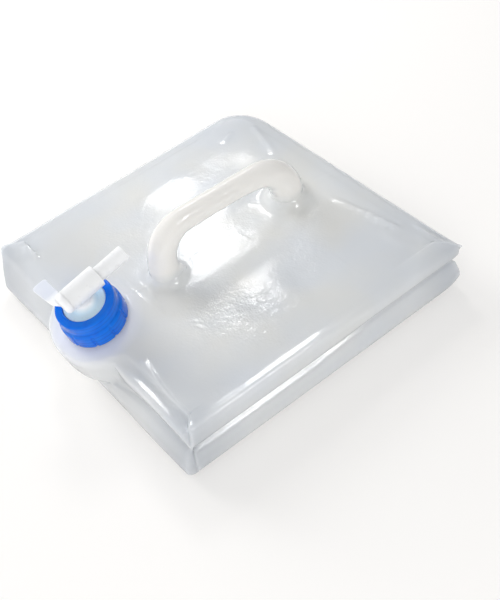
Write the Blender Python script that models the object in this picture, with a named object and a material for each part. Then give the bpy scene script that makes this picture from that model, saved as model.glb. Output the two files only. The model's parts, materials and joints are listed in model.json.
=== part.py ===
"""A folding water carrier, lying partly folded on a floor, with its tap screwed on.

+Z is up and the floor is z = 0. The origin is the middle of the bag's underside. The neck is at the
front, towards -Y, and the handle runs from front to back along the panel's middle.
"""

import math

import bmesh
import bpy
from mathutils import Matrix, Vector

# All lengths are in metres.

# Clearances
GAP = 0.0003  # between pieces that touch
OVERRUN = 0.003  # how far a cutter goes past what it cuts

# The bag
SIDE = 0.280  # each side of the square panels
FOLDED_HEIGHT = 0.052  # floor to top panel as the bag lies folded
FILM = 0.0012  # thickness of the bag's wall
RIM = 0.015  # width of the soft border round each panel
PANEL_RISE = 0.003  # how much the top panel's middle stands above its border
CORNER_RADIUS = 0.009
SOFT_CORNER_RADIUS = 0.034  # the back left corner, which is blown out and round
SIDES = ("front", "right", "back", "left")  # each starts at the corner that has its number
SOFT_CORNER = 3
EAR_SHARE = 0.25  # how much of a side each corner's ear takes
ARC_SHARE = 0.12  # how much of a side each corner's round takes

# How far each corner is pulled from a true square, as shares of SIDE
PULL_SHARES = ((0.014, 0.004), (-0.011, -0.004), (0.011, 0.0), (0.007, -0.022))

# The wall's section at each corner and at the middle of each side, going round from the front left
# corner, from the panel down. The first value is the height of the panel's border, as a share of
# FOLDED_HEIGHT. Each pair is how far a point stands out from the square, as a share of SIDE, and its
# height, as a share of FOLDED_HEIGHT: the upper roll, the fold between the rolls and the lower roll.
SECTION_SHARES = (
    (0.94, (0.000, 0.80), (0.008, 0.46), (-0.006, 0.17)),  # front left corner
    (0.95, (-0.006, 0.80), (0.022, 0.48), (0.061, 0.18)),  # front
    (0.94, (0.000, 0.78), (-0.018, 0.46), (0.002, 0.17)),  # front right corner
    (0.95, (0.003, 0.71), (-0.052, 0.46), (0.004, 0.20)),  # right
    (0.96, (0.000, 0.83), (-0.057, 0.52), (0.004, 0.24)),  # back right corner
    (0.94, (0.000, 0.80), (-0.046, 0.46), (0.000, 0.18)),  # back
    (0.96, (-0.004, 0.79), (-0.011, 0.46), (-0.007, 0.17)),  # back left corner
    (0.95, (0.000, 0.80), (-0.021, 0.46), (-0.004, 0.17)),  # left
)
# How far the film bulges forward under the neck, as shares of SIDE, and over how much of the front
NECK_BULGE_SHARES = (0.056, 0.050)
NECK_BULGE_WIDTH_SHARE = 0.21
NECK_SAG = 0.0090  # how far the film in front of the neck hangs below the rest of the front
NECK_SAG_REACH_SHARE = 0.30  # how far back over the panel the sag reaches, as a share of its depth
ROLL_SHARE = 0.35  # where the border's last bend starts, as a share of RIM from the edge
UPPER_BEND_SHARE = 2 / 3  # how far down that bend lies between the border and the upper roll
LOWER_BEND_SHARE = 0.2  # how high the same bend under the bag lies, as a share of the lower roll's height
COLUMNS = 8  # faces along each side, without its corners
CORNER_COLUMNS = 2  # faces of a side in each corner's round
BEND_STEPS = 2  # faces between two points of the wall's section

# The neck
NECK_FORWARD = 0.1255  # from the panel's middle to the neck
NECK_BASE = 0.0515  # floor to the flat top of the shoulder
NECK_TILT = math.radians(12.7)  # the neck leans outward
SHOULDER_RADIUS = 0.0393
SHOULDER_DEPTH = 0.0185
SHOULDER_WALL = 0.0018
SHOULDER_ROUND = 0.003
NECK_BORE_RADIUS = 0.0195
NECK_WALL = 0.0024
NECK_HEIGHT = 0.0205
ROUND_SEGMENTS = 40
BEND_SHARE = 1 - math.sqrt(0.5)  # where the middle of a rounded edge lies, as a share of its radius

# The screw thread between neck and collar
THREAD_PITCH = 0.004
THREAD_DEPTH = 0.0012
THREAD_CREST = 0.001
THREAD_FOOT = 0.002
THREAD_ROOT = 0.0003  # how deep a thread is set into its wall
THREAD_START = 0.0065
THREAD_TURNS = 1.5
THREAD_CLEARANCE = 0.0005
THREAD_SEGMENTS = 24  # per turn

# The collar
COLLAR_FOOT = 0.0018  # from the shoulder to the collar's lower edge
COLLAR_WALL = 0.0023
COLLAR_LIP = 0.0023
COLLAR_HOLE_RADIUS = 0.0181
COLLAR_TOP_RADIUS = 0.0247
COLLAR_ROUND = 0.0018
SKIRT_HEIGHT = 0.0168  # from the shoulder to the top of the ribbed skirt
SKIRT_BEVEL = 0.0012
RIB_DEPTH = 0.001
RIBS = 10
# Where each rib and groove begins and ends, as shares of one rib's turn, with the share of RIB_DEPTH
RIB_SHARES = ((0.0, 1.0), (0.07, 0.0), (0.24, 0.0), (0.31, 1.0), (0.66, 1.0))

# The sealing washer
GASKET_THICKNESS = 0.0018
GASKET_HOLE_RADIUS = 0.0165

# The tap
FLANGE_RADIUS = 0.0220
FLANGE_THICKNESS = 0.0020
PLATFORM_CLEARANCE = 0.0005  # between the flange's raised middle and the collar's hole
PLATFORM_DROP = 0.0012  # how far the raised middle lies below the collar's top
RECESS_RADIUS = 0.0150
RECESS_DEPTH = 0.0014
STEM_RADIUS = 0.0074
STEM_BORE_RADIUS = 0.0039
STEM_FLARE_RADIUS = 0.0118
STEM_FLARE_HEIGHT = 0.0036
BARREL_RISE = 0.0124  # from the collar's top to the barrel's axis
BARREL_RADIUS = 0.0093
BARREL_BORE_RADIUS = 0.0070
BARREL_FRONT = 0.0092  # from the neck's axis to the barrel's open end
BARREL_BACK = 0.0212
BARREL_STEP = 0.0012
SPOUT_RADIUS = 0.0063
SPOUT_BORE_RADIUS = 0.0043
SPOUT_LENGTH = 0.0261
SPOUT_BEVEL = 0.0006
SNAP_BEAD = 0.0006  # how far the bead stands out of the plug
SNAP_WIDTH = 0.0012
SNAP_INSET = 0.0010  # from the bead to the plug's inner end
TAP_SEGMENTS = 28

# The plug
PLUG_CLEARANCE = 0.0004
PLUG_BORE_RADIUS = 0.0036
PLUG_END_GAP = 0.0027  # from the plug's inner end to the end of the barrel's bore
HEAD_RADIUS = 0.0081
HEAD_LENGTH = 0.0058
HEAD_BEVEL = 0.0012
PLUG_FLOOR = 0.0035  # the solid end behind the head
LEVER_LENGTH = 0.0308  # from the barrel's axis to the lever's tip
LEVER_WIDTH = 0.0128  # at the tip
LEVER_ROOT_WIDTH = 0.0096  # at LEVER_ROOT from the barrel's axis
LEVER_ROOT = 0.0075
LEVER_THICKNESS = 0.0030
LEVER_CORNER = 0.0030
LEVER_CORNER_STEPS = 4
O_RING_RADIUS = 0.0006  # of the ring's own section
O_RING_GROOVE = 0.0019
O_RING_DEPTH = 0.0014
O_RING_PLACES = {"plug_o_ring_outer": 0.0060, "plug_o_ring_inner": -0.0085}  # in front of the neck's axis
O_RING_SIDES = 6

# The handle
HANDLE_FRONT = -0.0575  # where the front leg stands
HANDLE_BACK = 0.0745
GRIP_HEIGHT = 0.0970  # floor to the middle of the grip at its front end
GRIP_DROP = 0.0035  # how much lower its back end is
FRONT_ELBOW = 0.0230
BACK_ELBOW = 0.0270
HANDLE_WALL = 0.0015
GRIP_RADIUS = 0.0100
FRONT_LEG_RADIUS = 0.0122
BACK_LEG_RADIUS = 0.0142
FRONT_FOOT_RADIUS = 0.0150
BACK_FOOT_RADIUS = 0.0175
FOOT_HEIGHT = 0.0110  # how far a foot's flare reaches up the leg
FOOT_SINK = 0.0035  # how far a foot reaches through the panel
FOOT_SOLE = 0.00525  # how much of a foot, from its lower end, is straight
HANDLE_SEGMENTS = 16
ELBOW_STEPS = 5
GRIP_STEPS = 4

# Colours, roughness
FILM_FINISH = ((0.66, 0.68, 0.70), 0.25)
WHITE_FINISH = ((0.82, 0.84, 0.85), 0.35)
BLUE_FINISH = ((0.012, 0.14, 0.75), 0.22)
RUBBER_FINISH = ((0.30, 0.31, 0.32), 0.60)

# Sizes that follow from those above
NECK_RADIUS = NECK_BORE_RADIUS + NECK_WALL
MALE_CREST = NECK_RADIUS + THREAD_DEPTH
COLLAR_BORE = MALE_CREST + THREAD_CLEARANCE
SKIRT_RADIUS = COLLAR_BORE + COLLAR_WALL
GASKET_BASE = NECK_HEIGHT + GAP
FLANGE_BASE = GASKET_BASE + GASKET_THICKNESS + GAP
LIP_BASE = FLANGE_BASE + FLANGE_THICKNESS + GAP
COLLAR_TOP = LIP_BASE + COLLAR_LIP
BARREL_HEIGHT = COLLAR_TOP + BARREL_RISE
PLUG_RADIUS = BARREL_BORE_RADIUS - PLUG_CLEARANCE
PLUG_INNER_END = BARREL_BACK - BARREL_STEP - PLUG_END_GAP
RING_CENTRE = (PLUG_RADIUS - O_RING_DEPTH + BARREL_BORE_RADIUS) / 2


def clear_scene():
    for obj in list(bpy.data.objects):
        bpy.data.objects.remove(obj, do_unlink=True)


def material(name, finish):
    colour, roughness = finish
    made = bpy.data.materials.new(name)
    made.use_nodes = True
    shader = made.node_tree.nodes["Principled BSDF"]
    shader.inputs["Base Color"].default_value = (*colour, 1.0)
    shader.inputs["Roughness"].default_value = roughness
    shader.inputs["Metallic"].default_value = 0.0
    made.diffuse_color = (*colour, 1.0)
    return made


def add_object(name, bm, finish=None, parent=None):
    """The bmesh as an object with smooth rounds. Without a finish it is a helper for a Boolean."""
    bmesh.ops.recalc_face_normals(bm, faces=bm.faces)
    mesh = bpy.data.meshes.new(name)
    bm.to_mesh(mesh)
    bm.free()
    mesh.shade_smooth()
    mesh.set_sharp_from_angle(angle=math.radians(35))
    obj = bpy.data.objects.new(name, mesh)
    bpy.context.scene.collection.objects.link(obj)
    obj.parent = parent
    if finish is None:
        obj.hide_render = True
        obj.display_type = "WIRE"
    else:
        mesh.materials.append(material(name, finish))
    return obj


def add_boolean(obj, other, operation):
    modifier = obj.modifiers.new(operation.lower(), "BOOLEAN")
    modifier.object = other
    modifier.operation = operation
    modifier.solver = "EXACT"


def add_axis(name, place, turn, parent=None):
    axis = bpy.data.objects.new(name, None)
    bpy.context.scene.collection.objects.link(axis)
    axis.location = place
    axis.rotation_euler = turn
    axis.parent = parent
    return axis


def bridge_rows(bm, rows, closed_across, closed_along):
    """Faces between rows of vertices. A row of one vertex is a pole."""
    pairs = list(zip(rows, rows[1:]))
    if closed_along:
        pairs.append((rows[-1], rows[0]))
    for low, high in pairs:
        count = max(len(low), len(high))
        for i in range(count if closed_across else count - 1):
            j = (i + 1) % count
            if len(low) == 1:
                corners = (low[0], high[j], high[i])
            elif len(high) == 1:
                corners = (low[i], low[j], high[0])
            else:
                corners = (low[i], low[j], high[j], high[i])
            bm.faces.new(corners)


def lathe(profile, segments, radius_at=None):
    """A body turned about Z from (radius, height) points. One that starts and ends on the axis is solid."""
    bm = bmesh.new()
    angles = [math.tau * i / segments for i in range(segments)] if isinstance(segments, int) else segments
    rows = []
    for radius, height in profile:
        if radius == 0:
            rows.append([bm.verts.new((0, 0, height))])
            continue
        row = []
        for angle in angles:
            reach = radius_at(radius, height, angle) if radius_at else radius
            row.append(bm.verts.new((reach * math.cos(angle), reach * math.sin(angle), height)))
        rows.append(row)
    solid = profile[0][0] == 0
    bridge_rows(bm, rows, True, not solid)
    return bm


def smoothstep(value):
    value = min(max(value, 0.0), 1.0)
    return value * value * (3 - 2 * value)


def spline(points, steps):
    """Points of a smooth curve through the given ones."""
    ends = [2 * points[0] - points[1], *points, 2 * points[-1] - points[-2]]
    curve = []
    for before, start, end, after in zip(ends, ends[1:], ends[2:], ends[3:]):
        for i in range(steps):
            t = i / steps
            curve.append(
                start
                + 0.5 * t * (end - before)
                + t * t * (before - 2.5 * start + 2 * end - 0.5 * after)
                + t * t * t * (1.5 * (start - end) + 0.5 * (after - before))
            )
    curve.append(points[-1])
    return curve


def corner_radius(corner):
    return SOFT_CORNER_RADIUS if corner % len(SIDES) == SOFT_CORNER else CORNER_RADIUS


def ring_point(side, t, out, height):
    """A point out from the square, t of the way along one side, before the corners are pulled."""
    half = SIDE / 2 + out
    first = max(corner_radius(side) + out, FILM * 2)
    last = max(corner_radius(side + 1) + out, FILM * 2)
    if t < ARC_SHARE:
        angle = math.pi / 4 * (1 - t / ARC_SHARE)
        along = first - half - first * math.sin(angle)
        away = half - first + first * math.cos(angle)
    elif t > 1 - ARC_SHARE:
        angle = math.pi / 4 * (1 - (1 - t) / ARC_SHARE)
        along = half - last + last * math.sin(angle)
        away = half - last + last * math.cos(angle)
    else:
        straight = (t - ARC_SHARE) / (1 - 2 * ARC_SHARE)
        along = (first - half) * (1 - straight) + (half - last) * straight
        away = half
    return Matrix.Rotation(side * math.pi / 2, 3, "Z") @ Vector((along, -away, height))


def pulled(point):
    """The point moved as the corners are pulled from a true square."""
    x, y = (0.5 + point[axis] / SIDE for axis in (0, 1))
    weights = ((1 - x) * (1 - y), x * (1 - y), x * y, (1 - x) * y)
    shift = [sum(w * pull[axis] for w, pull in zip(weights, PULL_SHARES)) * SIDE for axis in (0, 1)]
    return point + Vector((*shift, 0))


def section_values(side, t):
    """The wall's section there: the border's height, then the rolls' and the fold's place."""
    first = 1 - smoothstep(t / EAR_SHARE)
    last = 1 - smoothstep((1 - t) / EAR_SHARE)
    weights = (first, 1 - first - last, last)
    rows = [SECTION_SHARES[(2 * side + i) % len(SECTION_SHARES)] for i in range(3)]

    def mixed(pick):
        return sum(weight * pick(row) for weight, row in zip(weights, rows))

    edge = mixed(lambda row: row[0]) * FOLDED_HEIGHT
    points = []
    for i in (1, 2, 3):
        out = mixed(lambda row, i=i: row[i][0]) * SIDE
        height = mixed(lambda row, i=i: row[i][1]) * FOLDED_HEIGHT
        points.append([out, height])
    if SIDES[side] == "front":
        for point, share in zip(points, NECK_BULGE_SHARES):
            point[0] += near_neck(t) * share * SIDE
    return edge, points


def near_neck(t):
    """1 in front of the neck, 0 where the film no longer bulges and sags there."""
    return smoothstep(1 - abs(t - 0.5) / NECK_BULGE_WIDTH_SHARE)


def wall_section(side, t):
    """The points (out, height) of the wall's outside from the top panel's border to the bottom's."""
    edge, (upper, fold, lower) = section_values(side, t)
    if SIDES[side] == "front":
        edge -= NECK_SAG * near_neck(t)
    roll = ROLL_SHARE * RIM
    points = [
        (GAP / 2 - RIM, edge),
        (upper[0] - roll, edge + (upper[1] - edge) * UPPER_BEND_SHARE + roll / 2),
        tuple(upper),
        tuple(fold),
        tuple(lower),
        (lower[0] - roll, lower[1] * LOWER_BEND_SHARE),
        (GAP / 2 - RIM, 0.0),
    ]
    curve = spline([Vector(point) for point in points], BEND_STEPS)
    return [(point.x, max(point.y, 0.0)) for point in curve]


def column_places():
    """Places along a side, closer together at its corners."""
    corner = [ARC_SHARE * i / CORNER_COLUMNS for i in range(CORNER_COLUMNS)]
    middle = [ARC_SHARE + (1 - 2 * ARC_SHARE) * i / COLUMNS for i in range(COLUMNS)]
    return [*corner, *middle, *[1 - ARC_SHARE + place for place in (*corner, ARC_SHARE)]]


def grid_normals(grid):
    normals = []
    for i, row in enumerate(grid):
        line = []
        for j, point in enumerate(row):
            across = grid[min(i + 1, len(grid) - 1)][j] - grid[max(i - 1, 0)][j]
            along = row[min(j + 1, len(row) - 1)] - row[max(j - 1, 0)]
            line.append(across.cross(along).normalized())
        normals.append(line)
    return normals


def sheet(grid, inside, mitre=None):
    """A closed sheet of film from a grid of points on its outer face.

    Its first and last rows, and without a mitre its side columns too, end in upright faces."""
    normals = grid_normals(grid)
    middle = grid[len(grid) // 2][len(grid[0]) // 2]
    if (inside - middle).dot(normals[len(grid) // 2][len(grid[0]) // 2]) < 0:
        normals = [[-normal for normal in line] for line in normals]
    inner = []
    for i, row in enumerate(grid):
        line = []
        for j, point in enumerate(row):
            at_end = i in (0, len(grid) - 1) or (not mitre and j in (0, len(row) - 1))
            upright = Vector((0, 0, math.copysign(1, inside.z - point.z)))
            line.append(point + (upright if at_end else normals[i][j]) * FILM)
        inner.append(line)
    bm = bmesh.new()
    layers = []
    for layer in (grid, inner):
        rows = []
        for row in layer:
            ready = [mitre(j, point) for j, point in enumerate(row)] if mitre else row
            rows.append([bm.verts.new(pulled(point)) for point in ready])
        layers.append(rows)
    outer, back = layers
    bridge_rows(bm, outer, False, False)
    bridge_rows(bm, back, False, False)
    bridge_rows(bm, [outer[0], back[0]], False, False)
    bridge_rows(bm, [outer[-1], back[-1]], False, False)
    bridge_rows(bm, [[row[0] for row in layer] for layer in layers], False, False)
    bridge_rows(bm, [[row[-1] for row in layer] for layer in layers], False, False)
    return bm


def add_wall(side, shoulder_cutter):
    places = column_places()
    sections = [wall_section(side, t) for t in places]
    grid = []
    for i in range(len(sections[0])):
        grid.append([ring_point(side, t, *section[i]) for t, section in zip(places, sections)])

    def mitre(j, point):
        """The wall's two ends stop just short of the plane through its corner."""
        if 0 < j < len(places) - 1:
            return point
        away = Matrix.Rotation(side * math.pi / 2, 3, "Z") @ Vector((1 if j else -1, 1, 0)).normalized()
        return point - away * (point.dot(away) + GAP / 2)

    inside = Vector((0, 0, FOLDED_HEIGHT / 2))
    obj = add_object(f"wall_{SIDES[side]}", sheet(grid, inside, mitre), FILM_FINISH)
    if SIDES[side] == "front":
        add_boolean(obj, shoulder_cutter, "DIFFERENCE")
    return obj


def border_point(side, t):
    edge, _ = section_values(side, t)
    return ring_point(side, t, -RIM - GAP / 2, edge)


def panel_grid():
    """The top panel's outer face: a sheet stretched between its four borders, and a little domed."""
    places = column_places()
    front = [border_point(0, t) for t in places]
    right = [border_point(1, t) for t in places]
    back = [border_point(2, 1 - t) for t in places]
    left = [border_point(3, 1 - t) for t in places]
    grid = []
    for j, v in enumerate(places):
        row = []
        for i, u in enumerate(places):
            between = front[i] * (1 - v) + back[i] * v + left[j] * (1 - u) + right[j] * u
            corners = front[0] * (1 - u) * (1 - v) + front[-1] * u * (1 - v)
            corners = corners + back[0] * (1 - u) * v + back[-1] * u * v
            rise = PANEL_RISE * math.sin(math.pi * u) * math.sin(math.pi * v)
            sag = NECK_SAG * near_neck(u) * smoothstep(1 - v / NECK_SAG_REACH_SHARE)
            row.append(between - corners + Vector((0, 0, rise - sag)))
        grid.append(row)
    return grid


def add_top_panel(cutters):
    obj = add_object("top_panel", sheet(panel_grid(), Vector((0, 0, 0))), FILM_FINISH)
    for cutter in cutters:
        add_boolean(obj, cutter, "DIFFERENCE")
    return obj


def add_bottom_panel():
    bm = bmesh.new()
    outline = []
    for side in range(4):
        for t in column_places()[:-1]:
            outline.append(bm.verts.new(pulled(ring_point(side, t, -RIM - GAP / 2, 0.0))))
    face = bm.faces.new(outline)
    raised = bmesh.ops.extrude_face_region(bm, geom=[face])
    top = [item for item in raised["geom"] if isinstance(item, bmesh.types.BMVert)]
    bmesh.ops.translate(bm, verts=top, vec=(0, 0, FILM))
    bm.faces.ensure_lookup_table()
    return add_object("bottom_panel", bm, FILM_FINISH)


def add_shoulder(axis):
    """The stiff round step that the neck stands on. It sits in a hole in the panel."""
    inner = SHOULDER_RADIUS - SHOULDER_WALL
    bend = SHOULDER_ROUND * BEND_SHARE
    profile = [
        (NECK_BORE_RADIUS, -SHOULDER_WALL),
        (NECK_BORE_RADIUS, 0.0),
        (SHOULDER_RADIUS - SHOULDER_ROUND, 0.0),
        (SHOULDER_RADIUS - bend, -bend),
        (SHOULDER_RADIUS, -SHOULDER_ROUND),
        (SHOULDER_RADIUS, -SHOULDER_DEPTH),
        (inner, -SHOULDER_DEPTH),
        (inner, -SHOULDER_ROUND),
        (SHOULDER_RADIUS - SHOULDER_ROUND, -SHOULDER_WALL),
    ]
    return add_object("neck_shoulder", lathe(profile, ROUND_SEGMENTS), FILM_FINISH, axis)


def add_shoulder_cutter(axis):
    """Clears the film where the shoulder stands."""
    radius = SHOULDER_RADIUS + GAP
    low = -SHOULDER_DEPTH - GAP
    high = SHOULDER_RADIUS
    profile = [(0.0, low), (radius, low), (radius, high), (0.0, high)]
    return add_object("shoulder_clearance", lathe(profile, ROUND_SEGMENTS), None, axis)


def thread(inner_wall, crest, middle):
    """A helical ridge. inner_wall is the radius of its foot, crest that of its top."""
    bm = bmesh.new()
    rows = []
    count = round(THREAD_SEGMENTS * THREAD_TURNS)
    for i in range(count + 1):
        angle = math.tau * i / THREAD_SEGMENTS
        height = middle + THREAD_PITCH * i / THREAD_SEGMENTS
        corners = (
            (inner_wall, -THREAD_FOOT / 2),
            (crest, -THREAD_CREST / 2),
            (crest, THREAD_CREST / 2),
            (inner_wall, THREAD_FOOT / 2),
        )
        row = []
        for radius, up in corners:
            row.append(bm.verts.new((radius * math.cos(angle), radius * math.sin(angle), height + up)))
        rows.append(row)
    bridge_rows(bm, rows, True, False)
    bm.faces.new(rows[0])
    bm.faces.new(rows[-1])
    return bm


def add_neck(axis):
    """The tube that the collar screws on to. It stands on the shoulder."""
    profile = [
        (NECK_BORE_RADIUS, GAP),
        (NECK_RADIUS, GAP),
        (NECK_RADIUS, NECK_HEIGHT),
        (NECK_BORE_RADIUS, NECK_HEIGHT),
    ]
    obj = add_object("neck", lathe(profile, ROUND_SEGMENTS), FILM_FINISH, axis)
    ridge = thread(NECK_RADIUS - THREAD_ROOT, MALE_CREST, THREAD_START)
    add_boolean(obj, add_object("neck_thread", ridge, None, axis), "UNION")
    return obj


def add_gasket(axis):
    outer = NECK_RADIUS - GAP
    top = GASKET_BASE + GASKET_THICKNESS
    profile = [(GASKET_HOLE_RADIUS, GASKET_BASE), (outer, GASKET_BASE), (outer, top), (GASKET_HOLE_RADIUS, top)]
    return add_object("neck_gasket", lathe(profile, ROUND_SEGMENTS), RUBBER_FINISH, axis)


def add_collar(axis):
    """The screw collar: a ribbed skirt under a smooth ring, with a lip that holds the tap's flange."""
    turn = math.tau / RIBS
    places = [(start * turn, depth) for start, depth in RIB_SHARES]
    angles = [rib * turn + start for rib in range(RIBS) for start, _ in places]
    depths = [depth for _ in range(RIBS) for _, depth in places]
    rib_of = dict(zip(angles, depths))

    def with_ribs(radius, height, angle):
        return radius + RIB_DEPTH * rib_of[angle] if radius == SKIRT_RADIUS else radius

    profile = [
        (COLLAR_BORE, COLLAR_FOOT),
        (SKIRT_RADIUS, COLLAR_FOOT),
        (SKIRT_RADIUS, SKIRT_HEIGHT - SKIRT_BEVEL),
        (COLLAR_TOP_RADIUS, SKIRT_HEIGHT),
        (COLLAR_TOP_RADIUS, COLLAR_TOP - COLLAR_ROUND),
        (COLLAR_TOP_RADIUS - COLLAR_ROUND * BEND_SHARE, COLLAR_TOP - COLLAR_ROUND * BEND_SHARE),
        (COLLAR_TOP_RADIUS - COLLAR_ROUND, COLLAR_TOP),
        (COLLAR_HOLE_RADIUS, COLLAR_TOP),
        (COLLAR_HOLE_RADIUS, LIP_BASE),
        (COLLAR_BORE, LIP_BASE),
    ]
    obj = add_object("collar", lathe(profile, angles, with_ribs), BLUE_FINISH, axis)
    ridge = thread(COLLAR_BORE + THREAD_ROOT, COLLAR_BORE - THREAD_DEPTH, THREAD_START + THREAD_PITCH / 2)
    add_boolean(obj, add_object("collar_thread", ridge, None, axis), "UNION")
    return obj


def add_tap_body(axis, barrel_axis):
    """Flange, stem, barrel and spout, all one moulding. The barrel's bore is open at the front."""
    flange_top = FLANGE_BASE + FLANGE_THICKNESS
    platform = COLLAR_HOLE_RADIUS - PLATFORM_CLEARANCE
    platform_top = COLLAR_TOP - PLATFORM_DROP
    recess = FLANGE_BASE + RECESS_DEPTH
    profile = [
        (0.0, recess),
        (RECESS_RADIUS, recess),
        (RECESS_RADIUS, FLANGE_BASE),
        (FLANGE_RADIUS, FLANGE_BASE),
        (FLANGE_RADIUS, flange_top),
        (platform, flange_top),
        (platform, platform_top),
        (STEM_FLARE_RADIUS, platform_top),
        (STEM_RADIUS, platform_top + STEM_FLARE_HEIGHT),
        (STEM_RADIUS, BARREL_HEIGHT),
        (0.0, BARREL_HEIGHT),
    ]
    body = add_object("tap_body", lathe(profile, TAP_SEGMENTS), WHITE_FINISH, axis)
    spout_end = BARREL_BACK + SPOUT_LENGTH
    barrel = [
        (0.0, -BARREL_FRONT),
        (BARREL_RADIUS, -BARREL_FRONT),
        (BARREL_RADIUS, BARREL_BACK - BARREL_STEP),
        (SPOUT_RADIUS, BARREL_BACK),
        (SPOUT_RADIUS, spout_end - SPOUT_BEVEL),
        (SPOUT_RADIUS - SPOUT_BEVEL, spout_end),
        (0.0, spout_end),
    ]
    add_boolean(body, add_object("barrel_shape", lathe(barrel, TAP_SEGMENTS), None, barrel_axis), "UNION")
    stem_bore = [
        (0.0, FLANGE_BASE - OVERRUN),
        (STEM_BORE_RADIUS, FLANGE_BASE - OVERRUN),
        (STEM_BORE_RADIUS, BARREL_HEIGHT),
        (0.0, BARREL_HEIGHT),
    ]
    add_boolean(body, add_object("stem_bore", lathe(stem_bore, TAP_SEGMENTS), None, axis), "DIFFERENCE")
    bore_end = BARREL_BACK - BARREL_STEP
    bead_end = PLUG_INNER_END - SNAP_INSET + GAP
    groove_radius = PLUG_RADIUS + SNAP_BEAD + GAP
    bore = [
        (0.0, -BARREL_FRONT - OVERRUN),
        (BARREL_BORE_RADIUS, -BARREL_FRONT - OVERRUN),
        (BARREL_BORE_RADIUS, bead_end - SNAP_WIDTH - 2 * GAP - SNAP_BEAD),
        (groove_radius, bead_end - SNAP_WIDTH - 2 * GAP),
        (groove_radius, bead_end),
        (BARREL_BORE_RADIUS, bead_end + SNAP_BEAD),
        (BARREL_BORE_RADIUS, bore_end),
        (SPOUT_BORE_RADIUS, bore_end),
        (SPOUT_BORE_RADIUS, spout_end + OVERRUN),
        (0.0, spout_end + OVERRUN),
    ]
    add_boolean(body, add_object("barrel_bore", lathe(bore, TAP_SEGMENTS), None, barrel_axis), "DIFFERENCE")
    return body


def lever_plate(base):
    """The flat lever. It starts at the head, in front of the base, and widens away from the barrel."""
    inner = base - GAP
    widths = ((0.0, HEAD_LENGTH - 2 * GAP), (LEVER_ROOT, LEVER_ROOT_WIDTH), (LEVER_LENGTH, LEVER_WIDTH))
    outline = [(-away, inner - width) for away, width in widths]
    tip = outline.pop()
    for middle, quarter in ((tip[1] + LEVER_CORNER, -1), (inner - LEVER_CORNER, 0)):
        for i in range(LEVER_CORNER_STEPS + 1):
            angle = math.pi / 2 * (quarter + i / LEVER_CORNER_STEPS)
            x = LEVER_CORNER - LEVER_LENGTH - LEVER_CORNER * math.cos(angle)
            outline.append((x, middle + LEVER_CORNER * math.sin(angle)))
    outline.append((0.0, inner))
    bm = bmesh.new()
    rows = []
    for y in (-LEVER_THICKNESS / 2, LEVER_THICKNESS / 2):
        rows.append([bm.verts.new((x, y, z)) for x, z in outline])
    bridge_rows(bm, rows, True, False)
    bm.faces.new(rows[0])
    bm.faces.new(rows[1])
    return bm


def add_plug(barrel_axis):
    """The hollow plug that turns in the barrel, with its lever. At rest its port looks away from the stem."""
    head_base = -BARREL_FRONT - GAP
    head_end = head_base - HEAD_LENGTH
    grooves = []
    for place in O_RING_PLACES.values():
        start, end = -place - O_RING_GROOVE / 2, -place + O_RING_GROOVE / 2
        floor = PLUG_RADIUS - O_RING_DEPTH
        grooves += [(PLUG_RADIUS, start), (floor, start), (floor, end), (PLUG_RADIUS, end)]
    bead_end = PLUG_INNER_END - SNAP_INSET
    profile = [
        (0.0, head_end),
        (HEAD_RADIUS - HEAD_BEVEL, head_end),
        (HEAD_RADIUS, head_end + HEAD_BEVEL),
        (HEAD_RADIUS, head_base),
        (PLUG_RADIUS, head_base),
        *grooves,
        (PLUG_RADIUS, bead_end - SNAP_WIDTH - SNAP_BEAD),
        (PLUG_RADIUS + SNAP_BEAD, bead_end - SNAP_WIDTH),
        (PLUG_RADIUS + SNAP_BEAD, bead_end),
        (PLUG_RADIUS, bead_end + SNAP_BEAD),
        (PLUG_RADIUS, PLUG_INNER_END),
        (0.0, PLUG_INNER_END),
    ]
    plug = add_object("tap_plug", lathe(profile, TAP_SEGMENTS), WHITE_FINISH, barrel_axis)
    plate = lever_plate(head_base)
    add_boolean(plug, add_object("lever_shape", plate, None, barrel_axis), "UNION")
    floor = head_base + PLUG_FLOOR
    bore = [
        (0.0, floor),
        (PLUG_BORE_RADIUS, floor),
        (PLUG_BORE_RADIUS, PLUG_INNER_END + OVERRUN),
        (0.0, PLUG_INNER_END + OVERRUN),
    ]
    add_boolean(plug, add_object("plug_bore", lathe(bore, TAP_SEGMENTS), None, barrel_axis), "DIFFERENCE")
    port = lathe(
        [(0.0, 0.0), (PLUG_BORE_RADIUS, 0.0), (PLUG_BORE_RADIUS, BARREL_RADIUS), (0.0, BARREL_RADIUS)],
        TAP_SEGMENTS,
    )
    bmesh.ops.rotate(port, verts=port.verts, matrix=Matrix.Rotation(math.pi / 2, 3, "Y"))
    add_boolean(plug, add_object("plug_port", port, None, barrel_axis), "DIFFERENCE")
    return plug


def add_o_ring(name, place, barrel_axis):
    profile = []
    for i in range(O_RING_SIDES):
        angle = math.tau * i / O_RING_SIDES
        profile.append((RING_CENTRE + O_RING_RADIUS * math.cos(angle), O_RING_RADIUS * math.sin(angle) - place))
    return add_object(name, lathe(profile, TAP_SEGMENTS), RUBBER_FINISH, barrel_axis)


def panel_height(y):
    """The height of the panel's outer face on its middle line."""
    places = column_places()
    line = [(row[len(row) // 2].y, row[len(row) // 2].z) for row in panel_grid()]
    for (start, low), (end, high) in zip(line, line[1:]):
        if start <= y <= end:
            return low + (high - low) * (y - start) / (end - start)
    return line[len(places) // 2][1]


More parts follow.
